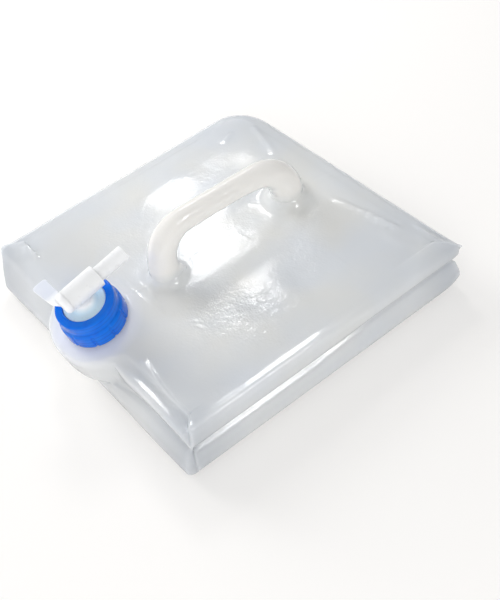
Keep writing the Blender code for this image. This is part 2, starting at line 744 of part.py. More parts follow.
def handle_route():
    """Stations of the handle's tube: (y, z), the tube's direction there as an angle, and its radius."""
    front_base = panel_height(HANDLE_FRONT) - FOOT_SINK
    back_base = panel_height(HANDLE_BACK) - FOOT_SINK
    back_height = GRIP_HEIGHT - GRIP_DROP
    stations = []
    for height, radius in (
        (front_base, FRONT_FOOT_RADIUS),
        (front_base + FOOT_SOLE, FRONT_FOOT_RADIUS),
        (front_base + FOOT_HEIGHT, FRONT_LEG_RADIUS),
    ):
        stations.append(((HANDLE_FRONT, height), math.pi / 2, radius))
    for i in range(ELBOW_STEPS + 1):
        angle = math.pi / 2 * i / ELBOW_STEPS
        y = HANDLE_FRONT + FRONT_ELBOW * (1 - math.cos(angle))
        z = GRIP_HEIGHT - FRONT_ELBOW * (1 - math.sin(angle))
        mix = smoothstep(i / ELBOW_STEPS)
        stations.append(((y, z), math.pi / 2 - angle, FRONT_LEG_RADIUS * (1 - mix) + GRIP_RADIUS * mix))
    start, end = HANDLE_FRONT + FRONT_ELBOW, HANDLE_BACK - BACK_ELBOW
    for i in range(1, GRIP_STEPS):
        share = i / GRIP_STEPS
        slope = math.atan2(-GRIP_DROP, end - start)
        place = (start + (end - start) * share, GRIP_HEIGHT - GRIP_DROP * share)
        stations.append((place, slope, GRIP_RADIUS))
    for i in range(ELBOW_STEPS + 1):
        angle = math.pi / 2 * i / ELBOW_STEPS
        y = end + BACK_ELBOW * math.sin(angle)
        z = back_height - BACK_ELBOW * (1 - math.cos(angle))
        mix = smoothstep(i / ELBOW_STEPS)
        stations.append(((y, z), -angle, GRIP_RADIUS * (1 - mix) + BACK_LEG_RADIUS * mix))
    for height, radius in (
        (back_base + FOOT_HEIGHT, BACK_LEG_RADIUS),
        (back_base + FOOT_SOLE, BACK_FOOT_RADIUS),
        (back_base, BACK_FOOT_RADIUS),
    ):
        stations.append(((HANDLE_BACK, height), -math.pi / 2, radius))
    return stations


def add_handle():
    """The hollow arch. Both legs are open to the bag."""
    bm = bmesh.new()
    layers = []
    for inset in (0.0, HANDLE_WALL):
        rows = []
        for (y, z), slope, radius in handle_route():
            out = Vector((0, -math.sin(slope), math.cos(slope)))
            row = []
            for i in range(HANDLE_SEGMENTS):
                angle = math.tau * i / HANDLE_SEGMENTS
                spoke = Vector((math.cos(angle), 0, 0)) + out * math.sin(angle)
                row.append(bm.verts.new(Vector((0, y, z)) + spoke * (radius - inset)))
            rows.append(row)
        layers.append(rows)
    outer, inner = layers
    bridge_rows(bm, outer, True, False)
    bridge_rows(bm, inner, True, False)
    bridge_rows(bm, [outer[0], inner[0]], True, False)
    bridge_rows(bm, [outer[-1], inner[-1]], True, False)
    return add_object("handle", bm, FILM_FINISH)


def add_foot_cutter(name, y, radius):
    """Clears the panel where a leg of the handle goes through it."""
    hole = radius + GAP
    middle = panel_height(y)
    profile = [
        (0.0, middle - FOOT_SINK - OVERRUN),
        (hole, middle - FOOT_SINK - OVERRUN),
        (hole, middle + FOOT_SINK + OVERRUN),
        (0.0, middle + FOOT_SINK + OVERRUN),
    ]
    cutter = add_object(name, lathe(profile, HANDLE_SEGMENTS), None)
    cutter.location = (0, y, 0)
    return cutter


def main():
    clear_scene()
    neck_axis = add_axis("neck_axis", (0, -NECK_FORWARD, NECK_BASE), (NECK_TILT, 0, 0))
    barrel_axis = add_axis("barrel_axis", (0, 0, BARREL_HEIGHT), (-math.pi / 2, 0, 0), neck_axis)
    shoulder_cutter = add_shoulder_cutter(neck_axis)
    front_foot = add_foot_cutter("front_foot_clearance", HANDLE_FRONT, FRONT_FOOT_RADIUS)
    back_foot = add_foot_cutter("back_foot_clearance", HANDLE_BACK, BACK_FOOT_RADIUS)
    add_bottom_panel()
    add_top_panel((shoulder_cutter, front_foot, back_foot))
    for side in range(4):
        add_wall(side, shoulder_cutter)
    add_shoulder(neck_axis)
    add_neck(neck_axis)
    add_handle()
    add_gasket(neck_axis)
    add_collar(neck_axis)
    add_tap_body(neck_axis, barrel_axis)
    add_plug(barrel_axis)
    for name, place in O_RING_PLACES.items():
        add_o_ring(name, place, barrel_axis)


main()
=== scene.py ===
# %% [markdown]
# # A folding water carrier
# This is a soft plastic bag that carries water home from a tap. It lies folded on a white floor,
# with its handle up and its tap screwed on. The bag, the neck's shoulder and the arched handle are one
# blow moulding in milky polyethylene. The collar and the tap are stiff mouldings of their own.
#
# The solid model is loaded first as a fixed frame. It says where each piece is and which body it moves
# with. This script dresses it: it makes the soft film in fine detail around the frame's plain solids, and
# gives each hard piece the finish of its plastic.

import json
import math

import bpy
import numpy as np
from mathutils import Matrix, Vector

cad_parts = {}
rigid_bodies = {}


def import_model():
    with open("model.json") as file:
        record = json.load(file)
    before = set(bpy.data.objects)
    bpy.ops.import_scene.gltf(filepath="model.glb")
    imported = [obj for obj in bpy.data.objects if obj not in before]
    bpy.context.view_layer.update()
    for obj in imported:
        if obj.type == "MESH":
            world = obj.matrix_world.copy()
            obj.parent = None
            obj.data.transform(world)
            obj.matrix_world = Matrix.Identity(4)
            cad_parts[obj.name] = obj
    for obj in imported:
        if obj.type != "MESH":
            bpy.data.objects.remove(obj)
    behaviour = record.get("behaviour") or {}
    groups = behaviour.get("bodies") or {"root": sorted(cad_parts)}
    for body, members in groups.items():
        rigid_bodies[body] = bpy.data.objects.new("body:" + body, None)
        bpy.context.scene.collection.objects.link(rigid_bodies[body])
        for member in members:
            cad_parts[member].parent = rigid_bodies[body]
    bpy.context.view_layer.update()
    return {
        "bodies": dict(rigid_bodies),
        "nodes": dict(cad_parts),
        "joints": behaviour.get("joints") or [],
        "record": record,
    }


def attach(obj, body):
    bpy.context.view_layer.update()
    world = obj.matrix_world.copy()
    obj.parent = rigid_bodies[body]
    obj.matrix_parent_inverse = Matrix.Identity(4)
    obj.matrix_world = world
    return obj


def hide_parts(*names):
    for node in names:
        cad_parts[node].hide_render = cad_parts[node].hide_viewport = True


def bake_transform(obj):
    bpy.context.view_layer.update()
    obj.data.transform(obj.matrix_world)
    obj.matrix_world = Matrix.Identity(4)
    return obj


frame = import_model()
print("nodes:", ", ".join(sorted(frame["nodes"])))

# %% [markdown]
# ## Small helpers
# The film is worked out in millimetres, as a maker would measure it, and turned to metres when its mesh is
# made. Colours are written as sRGB hex codes, which is how they are read off a colour chart, and one
# function turns them to the linear values that the shaders use.

# %% Units, colours, nodes and meshes
MM = 0.001  # metres in a millimetre
SHARP_ANGLE = 40  # degrees between faces, above which an edge is drawn sharp


def linear(code):
    """The linear colour of an sRGB hex code."""
    shares = [int(code[i : i + 2], 16) / 255 for i in (1, 3, 5)]
    return (*[s / 12.92 if s <= 0.04045 else ((s + 0.055) / 1.055) ** 2.4 for s in shares], 1.0)


RANGE = ("From Min", "From Max", "To Min", "To Max")  # the sockets that spread one range over another


def add_node(tree, kind, settings=None):
    """A node with its settings and links: properties, and sockets with a value or another socket."""
    node = tree.nodes.new("ShaderNode" + kind)
    for key, value in (settings or {}).items():
        if isinstance(value, bpy.types.NodeSocket):
            tree.links.new(value, node.inputs[key])
        elif isinstance(key, str) and hasattr(node, key):
            setattr(node, key, value)
        else:
            node.inputs[key].default_value = value
    return node


def smooth(value):
    """0 below 0, 1 above 1, and a soft step between."""
    value = np.clip(value, 0.0, 1.0)
    return value * value * (3 - 2 * value)


def add_piece(name, points, faces, material=None):
    """A mesh object from points in millimetres."""
    mesh = bpy.data.meshes.new(name)
    mesh.from_pydata((np.asarray(points) * MM).tolist(), [], faces)
    mesh.validate()
    mesh.shade_smooth()
    mesh.set_sharp_from_angle(angle=math.radians(SHARP_ANGLE))
    if material:
        mesh.materials.append(material)
    piece = bpy.data.objects.new(name, mesh)
    bpy.context.scene.collection.objects.link(piece)
    return piece


# %% [markdown]
# ## The camera
# The bag was photographed from a little above, across its front right corner. The camera looks from there,
# at a distance of about 0.8 m, which gives the near corner the same growth towards the eye.

# %% Camera
AZIMUTH, ELEVATION, ROLL = (math.radians(v) for v in (56.5, 48.2, -8.4))
CAMERA_DISTANCE = 0.8023  # m
LOOKS_AT = Vector((0.0474, -0.0108, 0.0215))  # m
SENSOR = 36.0  # mm
FOCAL_SHARE = 965 / 600  # the lens's length over the picture's height
NEAREST = 0.02  # m, the nearest that it sees

level_way = Vector((math.sin(AZIMUTH), -math.cos(AZIMUTH), 0))
back = level_way * math.cos(ELEVATION) + Vector((0, 0, math.sin(ELEVATION)))
camera = bpy.data.objects.new("camera", bpy.data.cameras.new("camera"))
bpy.context.scene.collection.objects.link(camera)
turn = back.to_track_quat("Z", "Y").to_matrix() @ Matrix.Rotation(ROLL, 3, "Z")
camera.matrix_world = Matrix.Translation(LOOKS_AT + back * CAMERA_DISTANCE) @ turn.to_4x4()
camera.data.sensor_width = SENSOR
camera.data.lens = FOCAL_SHARE * SENSOR
camera.data.clip_start = NEAREST
bpy.context.scene.camera = camera
bpy.context.scene.view_settings.view_transform = "Standard"
print(f"camera {CAMERA_DISTANCE} m from the bag, lens {camera.data.lens:.1f} mm")

# %% [markdown]
# ## Light and floor
# Four square lamps stand round the bag. A softbox behind it, to the left, draws most of the white streaks on
# the film: they are its reflection, so its place was worked out from where they lie. A narrow strip at the
# right is only there to be mirrored, along the lower roll. A large window at the left and a large fill at
# the right give the soft light, and leave no streaks. The room is pale and even. The camera sees plain
# white where there is no bag, and the floor keeps the soft shadow.

# %% Room
# How bright the room is level with the floor and straight above, where 1 is white, as it lights the bag
# and as the bag's gloss mirrors it. The gloss sees a darker wall behind the floor, which draws the edges.
ROOM_LIGHT = (1.02, 0.50)
ROOM_MIRRORED = (0.10, 0.70)
ROOM_TOP = 0.8  # how steep a way already meets the brightness of straight above, where 1 is upright
ROOM_COLOUR = "#f6f7f9"

world = bpy.data.worlds.new("studio")
bpy.context.scene.world = world
world.use_nodes = True
tree = world.node_tree
tree.nodes.clear()
path = add_node(tree, "LightPath").outputs
way = add_node(tree, "TexCoord").outputs["Generated"]
height = add_node(tree, "SeparateXYZ", {0: way}).outputs["Z"]
rooms = []
for low, high in (ROOM_LIGHT, ROOM_MIRRORED):
    settings = dict(zip(RANGE, (0.0, ROOM_TOP, low, high)), Value=height)
    level = add_node(tree, "MapRange", settings).outputs[0]
    settings = {"Color": linear(ROOM_COLOUR), "Strength": level}
    rooms.append(add_node(tree, "Background", settings).outputs[0])
white = add_node(tree, "Background", {"Color": (1, 1, 1, 1), "Strength": 1.0}).outputs[0]
settings = {0: path["Is Glossy Ray"], 1: rooms[0], 2: rooms[1]}
lit = add_node(tree, "MixShader", settings).outputs[0]
settings = {0: path["Is Camera Ray"], 1: lit, 2: white}
seen = add_node(tree, "MixShader", settings).outputs[0]
add_node(tree, "OutputWorld", {0: seen})
print(f"room: {ROOM_LIGHT[0]} of white at the floor, {ROOM_LIGHT[1]} above")

# %% Lamps
# For each lamp: its power in W, its size and distance in m, the way to it from the bag, and how far it is
# moved aside and up in its own plane, in m
LAMPS = {
    "softbox": (2.3, 0.24, 1.2, Vector((-0.5558, 0.3679, 0.7455)), (0.04, -0.075)),
    "strip": (3.0, 0.26, 1.2, Vector((0.676, 0.231, 0.700)), (0, 0)),
    "window": (14.5, 0.8, 1.6, Vector((-0.89, -0.16, 0.42)), (0, 0)),
    "fill": (9.4, 1.3, 1.6, Vector((0.70, -0.58, 0.42)), (0, 0)),
}
LAMPS_FACE = Vector((0, 0, 0.05))  # m, the middle of the bag's top


def add_lamp(name, power, size, distance, way, moved):
    """A square lamp that faces the bag from a given way."""
    lamp = bpy.data.lights.new(name, "AREA")
    lamp.shape = "SQUARE"
    lamp.size = size
    lamp.energy = power
    light = bpy.data.objects.new(name, lamp)
    bpy.context.scene.collection.objects.link(light)
    across = Vector((0, 0, 1)).cross(way).normalized()
    light.location = LAMPS_FACE + way * distance + across * moved[0] + way.cross(across) * moved[1]
    light.rotation_euler = (LAMPS_FACE - light.location).to_track_quat("-Z", "Y").to_euler()
    print(name, "at", [round(v, 3) for v in light.location])
    return light


lights = {name: add_lamp(name, *settings) for name, settings in LAMPS.items()}
lights["strip"].visible_diffuse = False  # only mirrored: it draws the long streaks
for name in ("window", "fill"):
    lights[name].visible_glossy = False  # these only light, and aren't seen in the gloss

# %% Floor
FLOOR_REACH = 3000  # mm to each side
FLOOR_DROP = 0.2  # mm below the bag, so that the two faces never lie in one plane
FLOOR_LIFT = 0.34  # how much of the floor's look is plain white to the camera
FLOOR_WHITE = 1.12  # how bright that white is
PAPER_ROUGHNESS = 0.9

# Uncoated paper: a warm white, so matt that it shows soft shadows and no gloss
paper = bpy.data.materials.new("white_backdrop_paper")
paper.use_nodes = True
tree = paper.node_tree
shader = tree.nodes["Principled BSDF"]
shader.inputs["Base Color"].default_value = linear("#f8f5f1")
shader.inputs["Roughness"].default_value = PAPER_ROUGHNESS
seen = add_node(tree, "LightPath").outputs["Is Camera Ray"]
lift = add_node(tree, "Math", {"operation": "MULTIPLY", 0: seen, 1: FLOOR_LIFT}).outputs[0]
glow = add_node(tree, "Emission", {"Color": (1, 1, 1, 1), "Strength": FLOOR_WHITE}).outputs[0]
mix = add_node(tree, "MixShader", {0: lift, 1: shader.outputs[0], 2: glow})
tree.links.new(mix.outputs[0], tree.nodes["Material Output"].inputs["Surface"])
ends = ((-1, -1), (1, -1), (1, 1), (-1, 1))
corners = [(x * FLOOR_REACH, y * FLOOR_REACH, -FLOOR_DROP) for x, y in ends]
floor = add_piece("floor", corners, [(0, 1, 2, 3)], paper)
print(f"floor: {2 * FLOOR_REACH * MM:.0f} m across")

# %% [markdown]
# ## The film's shape
# The film is one skin with no seams. It could be sculpted or simulated, but its folds are known from the
# photograph, so it is drawn as sections: at any place round the bag, a smooth curve goes from the top
# panel's border, over the upper roll, in to the fold, out to the lower roll and under to the floor. Between
# the places that have a section of their own, one section turns smoothly into the next.

# %% Sizes of the bag, in millimetres
SIDE = 280
RIM = 15  # the sections start this far inside the square
PANEL_HEIGHT = 50
PANEL_RISE = 2.2  # how much higher the panel's middle stands
EAR = 0.12  # how much of a side each corner's round takes
LEAST_ROUND = 2  # the sharpest that a corner gets
# How far each corner is pulled from a true square, x and y, at the upper roll and at the floor, from the
# front left corner round
CORNER_PULLS = (
    ((0.8, 3.4), (3.0, -1.6)),
    ((-3.6, -0.8), (-3.0, 1.9)),
    ((1.4, 0.4), (1.6, -1.2)),
    ((0.8, -4.7), (0.8, -4.7)),
)
PULL_HEIGHTS = (42, 8)
NECK_Y = -125.5
NECK_Z = 51.5
NECK_TILT = math.radians(12.7)
SHOULDER_RADIUS = 39.3

# %% Sections of the film
# How far out from the square and how high the skin is at each point of a section, from the border down:
# border, slope, slope, crest, upper roll, its underside, fold, lower roll's top, lower roll, under, border
FRONT_LEFT = [(-15, 48.8), (-10, 47.6), (-5, 45.6), (0.5, 42.4), (2.4, 39), (2, 32)]
FRONT_LEFT += [(2, 26), (2, 19), (1, 10), (-4, 2.5), (-15, 0)]
FRONT_BULGE = [(-15, 49.0), (-10, 47.8), (-5, 45.4), (-0.5, 41.5), (2.5, 36.5), (4.2, 31)]
FRONT_BULGE += [(5.8, 25), (7.6, 18), (8.8, 10), (4, 2.5), (-15, 0)]
FRONT_ROLL = [(-15, 49.6), (-12.6, 49.3), (-9.0, 46.0), (-0.9, 46.8), (0.8, 42.2), (-1.0, 34)]
FRONT_ROLL += [(-3.2, 29.5), (2.2, 25), (6.9, 16), (7.6, 5), (-15, 0)]
FRONT_RIGHT = [(-15, 49.2), (-10, 49.3), (-6, 48.8), (-3.4, 45.5), (-1.8, 38.5), (-0.3, 29.5)]
FRONT_RIGHT += [(-3, 25), (0.2, 20.5), (2.2, 8.5), (0, 2), (-15, 0)]
RIGHT = [(-15, 49.6), (-9.5, 49.75), (-3.4, 50.2), (-0.9, 47.2), (-0.2, 41.5), (-0.8, 31.8)]
RIGHT += [(-5.0, 28.0), (0.6, 23.6), (2.6, 16.5), (2.2, 6), (-15, 0)]
RIGHT_SOFT = [(-15, 49.6), (-10, 48.9), (-6, 47.9), (-2.6, 45.6), (-0.4, 41), (-0.4, 34.5)]
RIGHT_SOFT += [(-3.6, 30.2), (-0.8, 26.8), (2.2, 19), (2.4, 6), (-15, 0)]
BACK_RIGHT = [(-15, 48.6), (-9.5, 47.7), (-4, 46.2), (0.8, 43.4), (-2.5, 39.5), (-11, 33)]
BACK_RIGHT += [(-20, 27), (-8, 20), (0.4, 15), (-5, 4), (-15, 0)]
BACK = [(-15, 46.8), (-10, 45.5), (-5, 44), (0, 41.5), (1.9, 37.5), (-1, 33)]
BACK += [(-13, 25), (-3, 18), (0, 9.5), (-4, 2), (-15, 0)]
BACK_LEFT = [(-15, 47.2), (-10, 46), (-5, 44.3), (-1, 41.2), (0.9, 37), (0, 31.5)]
BACK_LEFT += [(-3, 25), (-2, 18), (-2, 9), (-5, 2), (-15, 0)]
LEFT = [(-15, 46.4), (-10, 45), (-5, 43.4), (-0.5, 41), (1.2, 37), (1, 31.5)]
LEFT += [(-5, 24.5), (-2, 18), (-1, 9), (-4, 2), (-15, 0)]
# For each side, the place of each section along it
FRONT_SIDE = ((0, FRONT_LEFT), (0.12, FRONT_BULGE), (0.5, FRONT_BULGE))
FRONT_SIDE += ((0.77, FRONT_ROLL), (0.88, FRONT_ROLL), (1, FRONT_RIGHT))
RIGHT_SIDE = ((0, FRONT_RIGHT), (0.08, RIGHT), (0.42, RIGHT))
RIGHT_SIDE += ((0.66, RIGHT_SOFT), (0.86, RIGHT_SOFT), (1, BACK_RIGHT))
SECTIONS = (
    FRONT_SIDE,
    RIGHT_SIDE,
    ((0, BACK_RIGHT), (0.2, BACK), (0.8, BACK), (1, BACK_LEFT)),
    ((0, BACK_LEFT), (0.25, LEFT), (0.85, LEFT), (1, FRONT_LEFT)),
)
# How round each corner is at the upper roll, fold, lower roll and floor, from the front left corner round
CORNER_ROUNDS = ((2, 6, 11, 14), (7, 4, 2, 1), (1.5, 4, 1.5, 20), (34, 34, 34, 34))
ROUND_HEIGHTS = (42, 26, 14, 3)

COLUMNS = 168  # faces along each side, without its corners
CORNER_COLUMNS = 16
BEND_STEPS = 5
print(f"sections: {sum(len(side) for side in SECTIONS)} of {len(FRONT_LEFT)} points")


# %% Points round the bag
def column_places():
    """Places along a side, closer together in the corners' rounds."""
    corner = np.arange(CORNER_COLUMNS) / CORNER_COLUMNS * EAR
    middle = EAR + (1 - 2 * EAR) * np.arange(COLUMNS) / COLUMNS
    return np.concatenate([corner, middle, 1 - EAR + corner, [1.0]])


def corner_round(corner, height):
    """How round a corner is at a height."""
    return np.interp(height, ROUND_HEIGHTS[::-1], CORNER_ROUNDS[corner % 4][::-1])


def ring(side, t, out, height):
    """Points that stand out from the square, t of the way along one side."""
    half = SIDE / 2 + out
    first = np.maximum(corner_round(side, height) + out, LEAST_ROUND)
    last = np.maximum(corner_round(side + 1, height) + out, LEAST_ROUND)
    start = math.pi / 4 * (1 - np.clip(t / EAR, 0, 1))
    end = math.pi / 4 * (1 - np.clip((1 - t) / EAR, 0, 1))
    straight = np.clip((t - EAR) / (1 - 2 * EAR), 0, 1)
    along = (first - half) * (1 - straight) + (half - last) * straight
    along = along - first * np.sin(start) * (t < EAR) + last * np.sin(end) * (t > 1 - EAR)
    away = half - first * (1 - np.cos(start)) * (t < EAR) - last * (1 - np.cos(end)) * (t > 1 - EAR)
    angle = side * math.pi / 2
    x = along * math.cos(angle) + away * math.sin(angle)
    y = along * math.sin(angle) - away * math.cos(angle)
    return np.stack(np.broadcast_arrays(x, y, height), -1)


def pulled(points):
    """The corners pulled from a true square, each by its own amount above and below."""
    x, y = 0.5 + points[..., 0] / SIDE, 0.5 + points[..., 1] / SIDE
    weights = ((1 - x) * (1 - y), x * (1 - y), x * y, (1 - x) * y)
    upper, floor_level = PULL_HEIGHTS
    high = np.clip((points[..., 2] - floor_level) / (upper - floor_level), 0, 1)
    moved = points.copy()
    for axis in (0, 1):
        for w, (top, foot) in zip(weights, CORNER_PULLS):
            moved[..., axis] += w * (top[axis] * high + foot[axis] * (1 - high))
    return moved


# %% [markdown]
# The neck stands on a flat round boss that leans outwards. In front of it the film is drawn tight round the
# boss, so there the section's upper roll follows the boss's rim. Behind it the film runs down to the panel.

# %% The boss
BOSS_EDGE = 4  # how far the rim is rounded
BOSS_HOLD = (20, 54)  # how far aside of the neck the film begins and ends to let go of the rim
# Points of the section that follow the rim: their number, how far in from the rim, and how far below it
BOSS_HELD = ((1, 10, 0), (2, BOSS_EDGE, 0.3), (3, 0.8, 1.6), (4, 0, BOSS_EDGE), (5, 1.2, 9))
BOSS_FOLD = (5, 3)  # how far in from the rim the fold is at most, and how much lower than elsewhere
BOSS_LOWER = 11  # how far in from the rim the lower roll's top is at most


def boss_plane(y):
    """The height of the boss's leaning top."""
    return NECK_Z + math.tan(NECK_TILT) * (y - NECK_Y)


def held_by_boss(t, points):
    """The front's section where the film is drawn round the boss."""
    x = (t - 0.5) * SIDE
    low, high = BOSS_HOLD
    hold = 1 - smooth((np.abs(x) - low) / (high - low))
    reach = np.sqrt(np.maximum(SHOULDER_RADIUS**2 - x**2, 0))
    rim = np.maximum(-SIDE / 2 - NECK_Y + reach * math.cos(NECK_TILT), points[3][0])
    top = boss_plane(-SIDE / 2 - rim)
    held = list(points)
    for i, inset, drop in BOSS_HELD:
        held[i] = (rim - inset, boss_plane(-SIDE / 2 - rim + inset) - drop if i < 3 else top - drop)
    held[6] = (np.maximum(rim - BOSS_FOLD[0], points[6][0]), points[6][1] - BOSS_FOLD[1])
    held[7] = (np.maximum(rim - BOSS_LOWER, points[7][0]), points[7][1])
    return [(a[0] * (1 - hold) + b[0] * hold, a[1] * (1 - hold) + b[1] * hold) for a, b in zip(points, held)]


# %% Smooth sections of the wall
def section(side, t):
    """How far out and how high the section's points are at each place along a side."""
    keys = SECTIONS[side]
    values = np.array([key[1] for key in keys], dtype=float)
    spots = np.array([key[0] for key in keys])
    after = np.clip(np.searchsorted(spots, t, side="right"), 1, len(keys) - 1)
    share = smooth((t - spots[after - 1]) / (spots[after] - spots[after - 1]))[:, None, None]
    mixed = values[after - 1] * (1 - share) + values[after] * share
    points = [(mixed[:, i, 0], mixed[:, i, 1]) for i in range(mixed.shape[1])]
    if side == 0:
        points = held_by_boss(t, points)
    return np.array(points)


def curve_through(points, steps):
    """A smooth curve through points, a Catmull-Rom spline, with its ends continued straight on."""
    ends = np.concatenate([[2 * points[0] - points[1]], points, [2 * points[-1] - points[-2]]])
    curve = []
    for before, start, end, after in zip(ends, ends[1:], ends[2:], ends[3:]):
        for step in range(steps):
            s = step / steps
            bend = start + 0.5 * s * (end - before) + s * s * (before - 2.5 * start + 2 * end - 0.5 * after)
            curve.append(bend + s**3 * (1.5 * (start - end) + 0.5 * (after - before)))
    return np.array([*curve, points[-1]])


def fine_section(side, t):
    """The section's points joined by a smooth curve, which stays above the floor."""
    curve = curve_through(section(side, t), BEND_STEPS)
    curve[:, 1] = np.maximum(curve[:, 1], 0.0)
    return curve


# %% [markdown]
# The top panel is a sheet between its four borders. It is level in the middle, stands a little higher there,
# and runs down to each border in a width of its own: quickly at the front and the right, and in a long
# slope at the back and the left, where the bag is less full.

# %% The top panel's sheet
SLOPES = (16, 22, 55, 40)  # mm from the level part to the border: front, right, back, left
RISE_POWER = 1.5  # above 1 it keeps the middle's rise away from the borders

places = column_places()
walls = [fine_section(side, places) for side in range(4)]
borders = [ring(side, places, wall[0, 0], wall[0, 1]) for side, wall in enumerate(walls)]


def panel_sheet():
    """A grid of points stretched between the four borders, with the panel's height at each."""
    front, right, rear, left = borders[0], borders[1], borders[2][::-1], borders[3][::-1]
    u, v = places[None, :, None], places[:, None, None]
    sheet = front[None] * (1 - v) + rear[None] * v + left[:, None] * (1 - u) + right[:, None] * u
    sheet = sheet - ((front[0] * (1 - u) + front[-1] * u) * (1 - v) + (rear[0] * (1 - u) + rear[-1] * u) * v)
    edges = (front[None], right[:, None], rear[None], left[:, None])
    gaps = [np.linalg.norm((sheet - edge)[..., :2], axis=-1) for edge in edges]
    near = [np.clip(1 - gap / run, 0, 1) for gap, run in zip(gaps, SLOPES)]
    reach = [smooth(n) for n in near]
    height = np.zeros_like(reach[0])
    for side, border in enumerate((front, right, rear, left)):
        wall = walls[side] if side < 2 else walls[side][:, :, ::-1]
        slope = (wall[1, 1] - wall[0, 1]) / (wall[1, 0] - wall[0, 0])
        along = (slice(None), None) if side % 2 else (None, slice(None))
        n = near[side]
        height += reach[side] * (border[:, 2] - PANEL_HEIGHT)[along]
        apart = (1 - reach[(side + 1) % 4]) * (1 - reach[side - 1])
        height += (n**3 - n**2) * SLOPES[side] * slope[along] * apart
    ends = ((0, 3, front[0]), (0, 1, front[-1]), (2, 3, rear[0]), (2, 1, rear[-1]))
    for one, two, corner in ends:
        height -= reach[one] * reach[two] * (corner[2] - PANEL_HEIGHT)
    inside = 1 - np.clip(sheet[..., :2] / (SIDE / 2 - RIM), -1, 1) ** 2
    sheet[..., 2] = PANEL_HEIGHT + height + PANEL_RISE * inside.prod(-1) ** RISE_POWER
    return sheet


# %% The whole skin
def film_skin():
    """Points and faces of the film: the panel's grid, the rows of the wall and the underside."""
    count = len(places)
    sheet = panel_sheet()
    index = np.arange(count * count).reshape(count, count)
    rim = np.concatenate([index[0, :-1], index[:-1, -1], index[-1, :0:-1], index[:0:-1, 0]])
    rows, numbers = [], [rim]
    total = count * count
    for i in range(1, walls[0].shape[0]):
        row = [ring(side, places[:-1], wall[i, 0, :-1], wall[i, 1, :-1]) for side, wall in enumerate(walls)]
        rows.append(np.concatenate(row))
        numbers.append(np.arange(total, total + len(rim)))
        total += len(rim)
    points = pulled(np.concatenate([sheet.reshape(-1, 3), *rows]))
    level = np.concatenate([np.zeros(count * count), *[np.full(len(rim), i + 1) for i in range(len(rows))]])
    faces = np.stack([index[:-1, :-1], index[:-1, 1:], index[1:, 1:], index[1:, :-1]], -1)
    faces = faces.reshape(-1, 4).tolist()
    for high, low in zip(numbers, numbers[1:]):
        faces += np.stack([high, low, np.roll(low, -1), np.roll(high, -1)], -1).tolist()
    faces.append(numbers[-1][::-1].tolist())
    return points, faces, level / BEND_STEPS


skin, faces, level = film_skin()
print(f"skin: {len(skin)} points, {len(faces)} faces")

# %% [markdown]
# ## The film's folds and creases
# Real film is never even. The mould leaves fine lines, folding leaves creases, and the panel stays a little
# wavy. Each is added as a change of height over the panel and its rolls, and fades out down the wall. They
# are real shapes, not bumps of a material, so the softbox draws them as the streaks that the eye knows.


# %% Shapes to add to the height
def near_line(x, y, route):
    """The distance to a line through the points of a route, and how far along it, from 0 to 1."""
    route = np.array(route, dtype=float)
    lengths = np.linalg.norm(np.diff(route, axis=0), axis=1)
    best, along = np.full(x.shape, 1e9), np.zeros(x.shape)
    done = 0.0
    for start, end, length in zip(route, route[1:], lengths):
        run = end - start
        share = ((x - start[0]) * run[0] + (y - start[1]) * run[1]) / length**2
        share = np.clip(share, 0, 1)
        gap = np.hypot(x - start[0] - share * run[0], y - start[1] - share * run[1])
        closer = gap < best
        best = np.where(closer, gap, best)
        along = np.where(closer, (done + share * length) / lengths.sum(), along)
        done += length
    return best, along


def ridge(x, y, height, width, taper, *route):
    """A soft ridge, or a crease where the height is below 0, which fades out at both ends."""
    gap, along = near_line(x, y, route)
    return height * np.exp(-((gap / width) ** 2)) * smooth(along / taper) * smooth((1 - along) / taper)


def waves(x, y, seed, spacing, count=14):
    """Gentle uneven waves of about the given spacing, mostly between -1 and 1."""
    rng = np.random.default_rng(seed)
    total = np.zeros(x.shape)
    for _ in range(count):
        angle, phase = rng.uniform(0, math.tau, 2)
        number = math.tau / (spacing * rng.uniform(0.7, 1.5))
        total += np.sin((x * math.cos(angle) + y * math.sin(angle)) * number + phase)
    return total / math.sqrt(count)


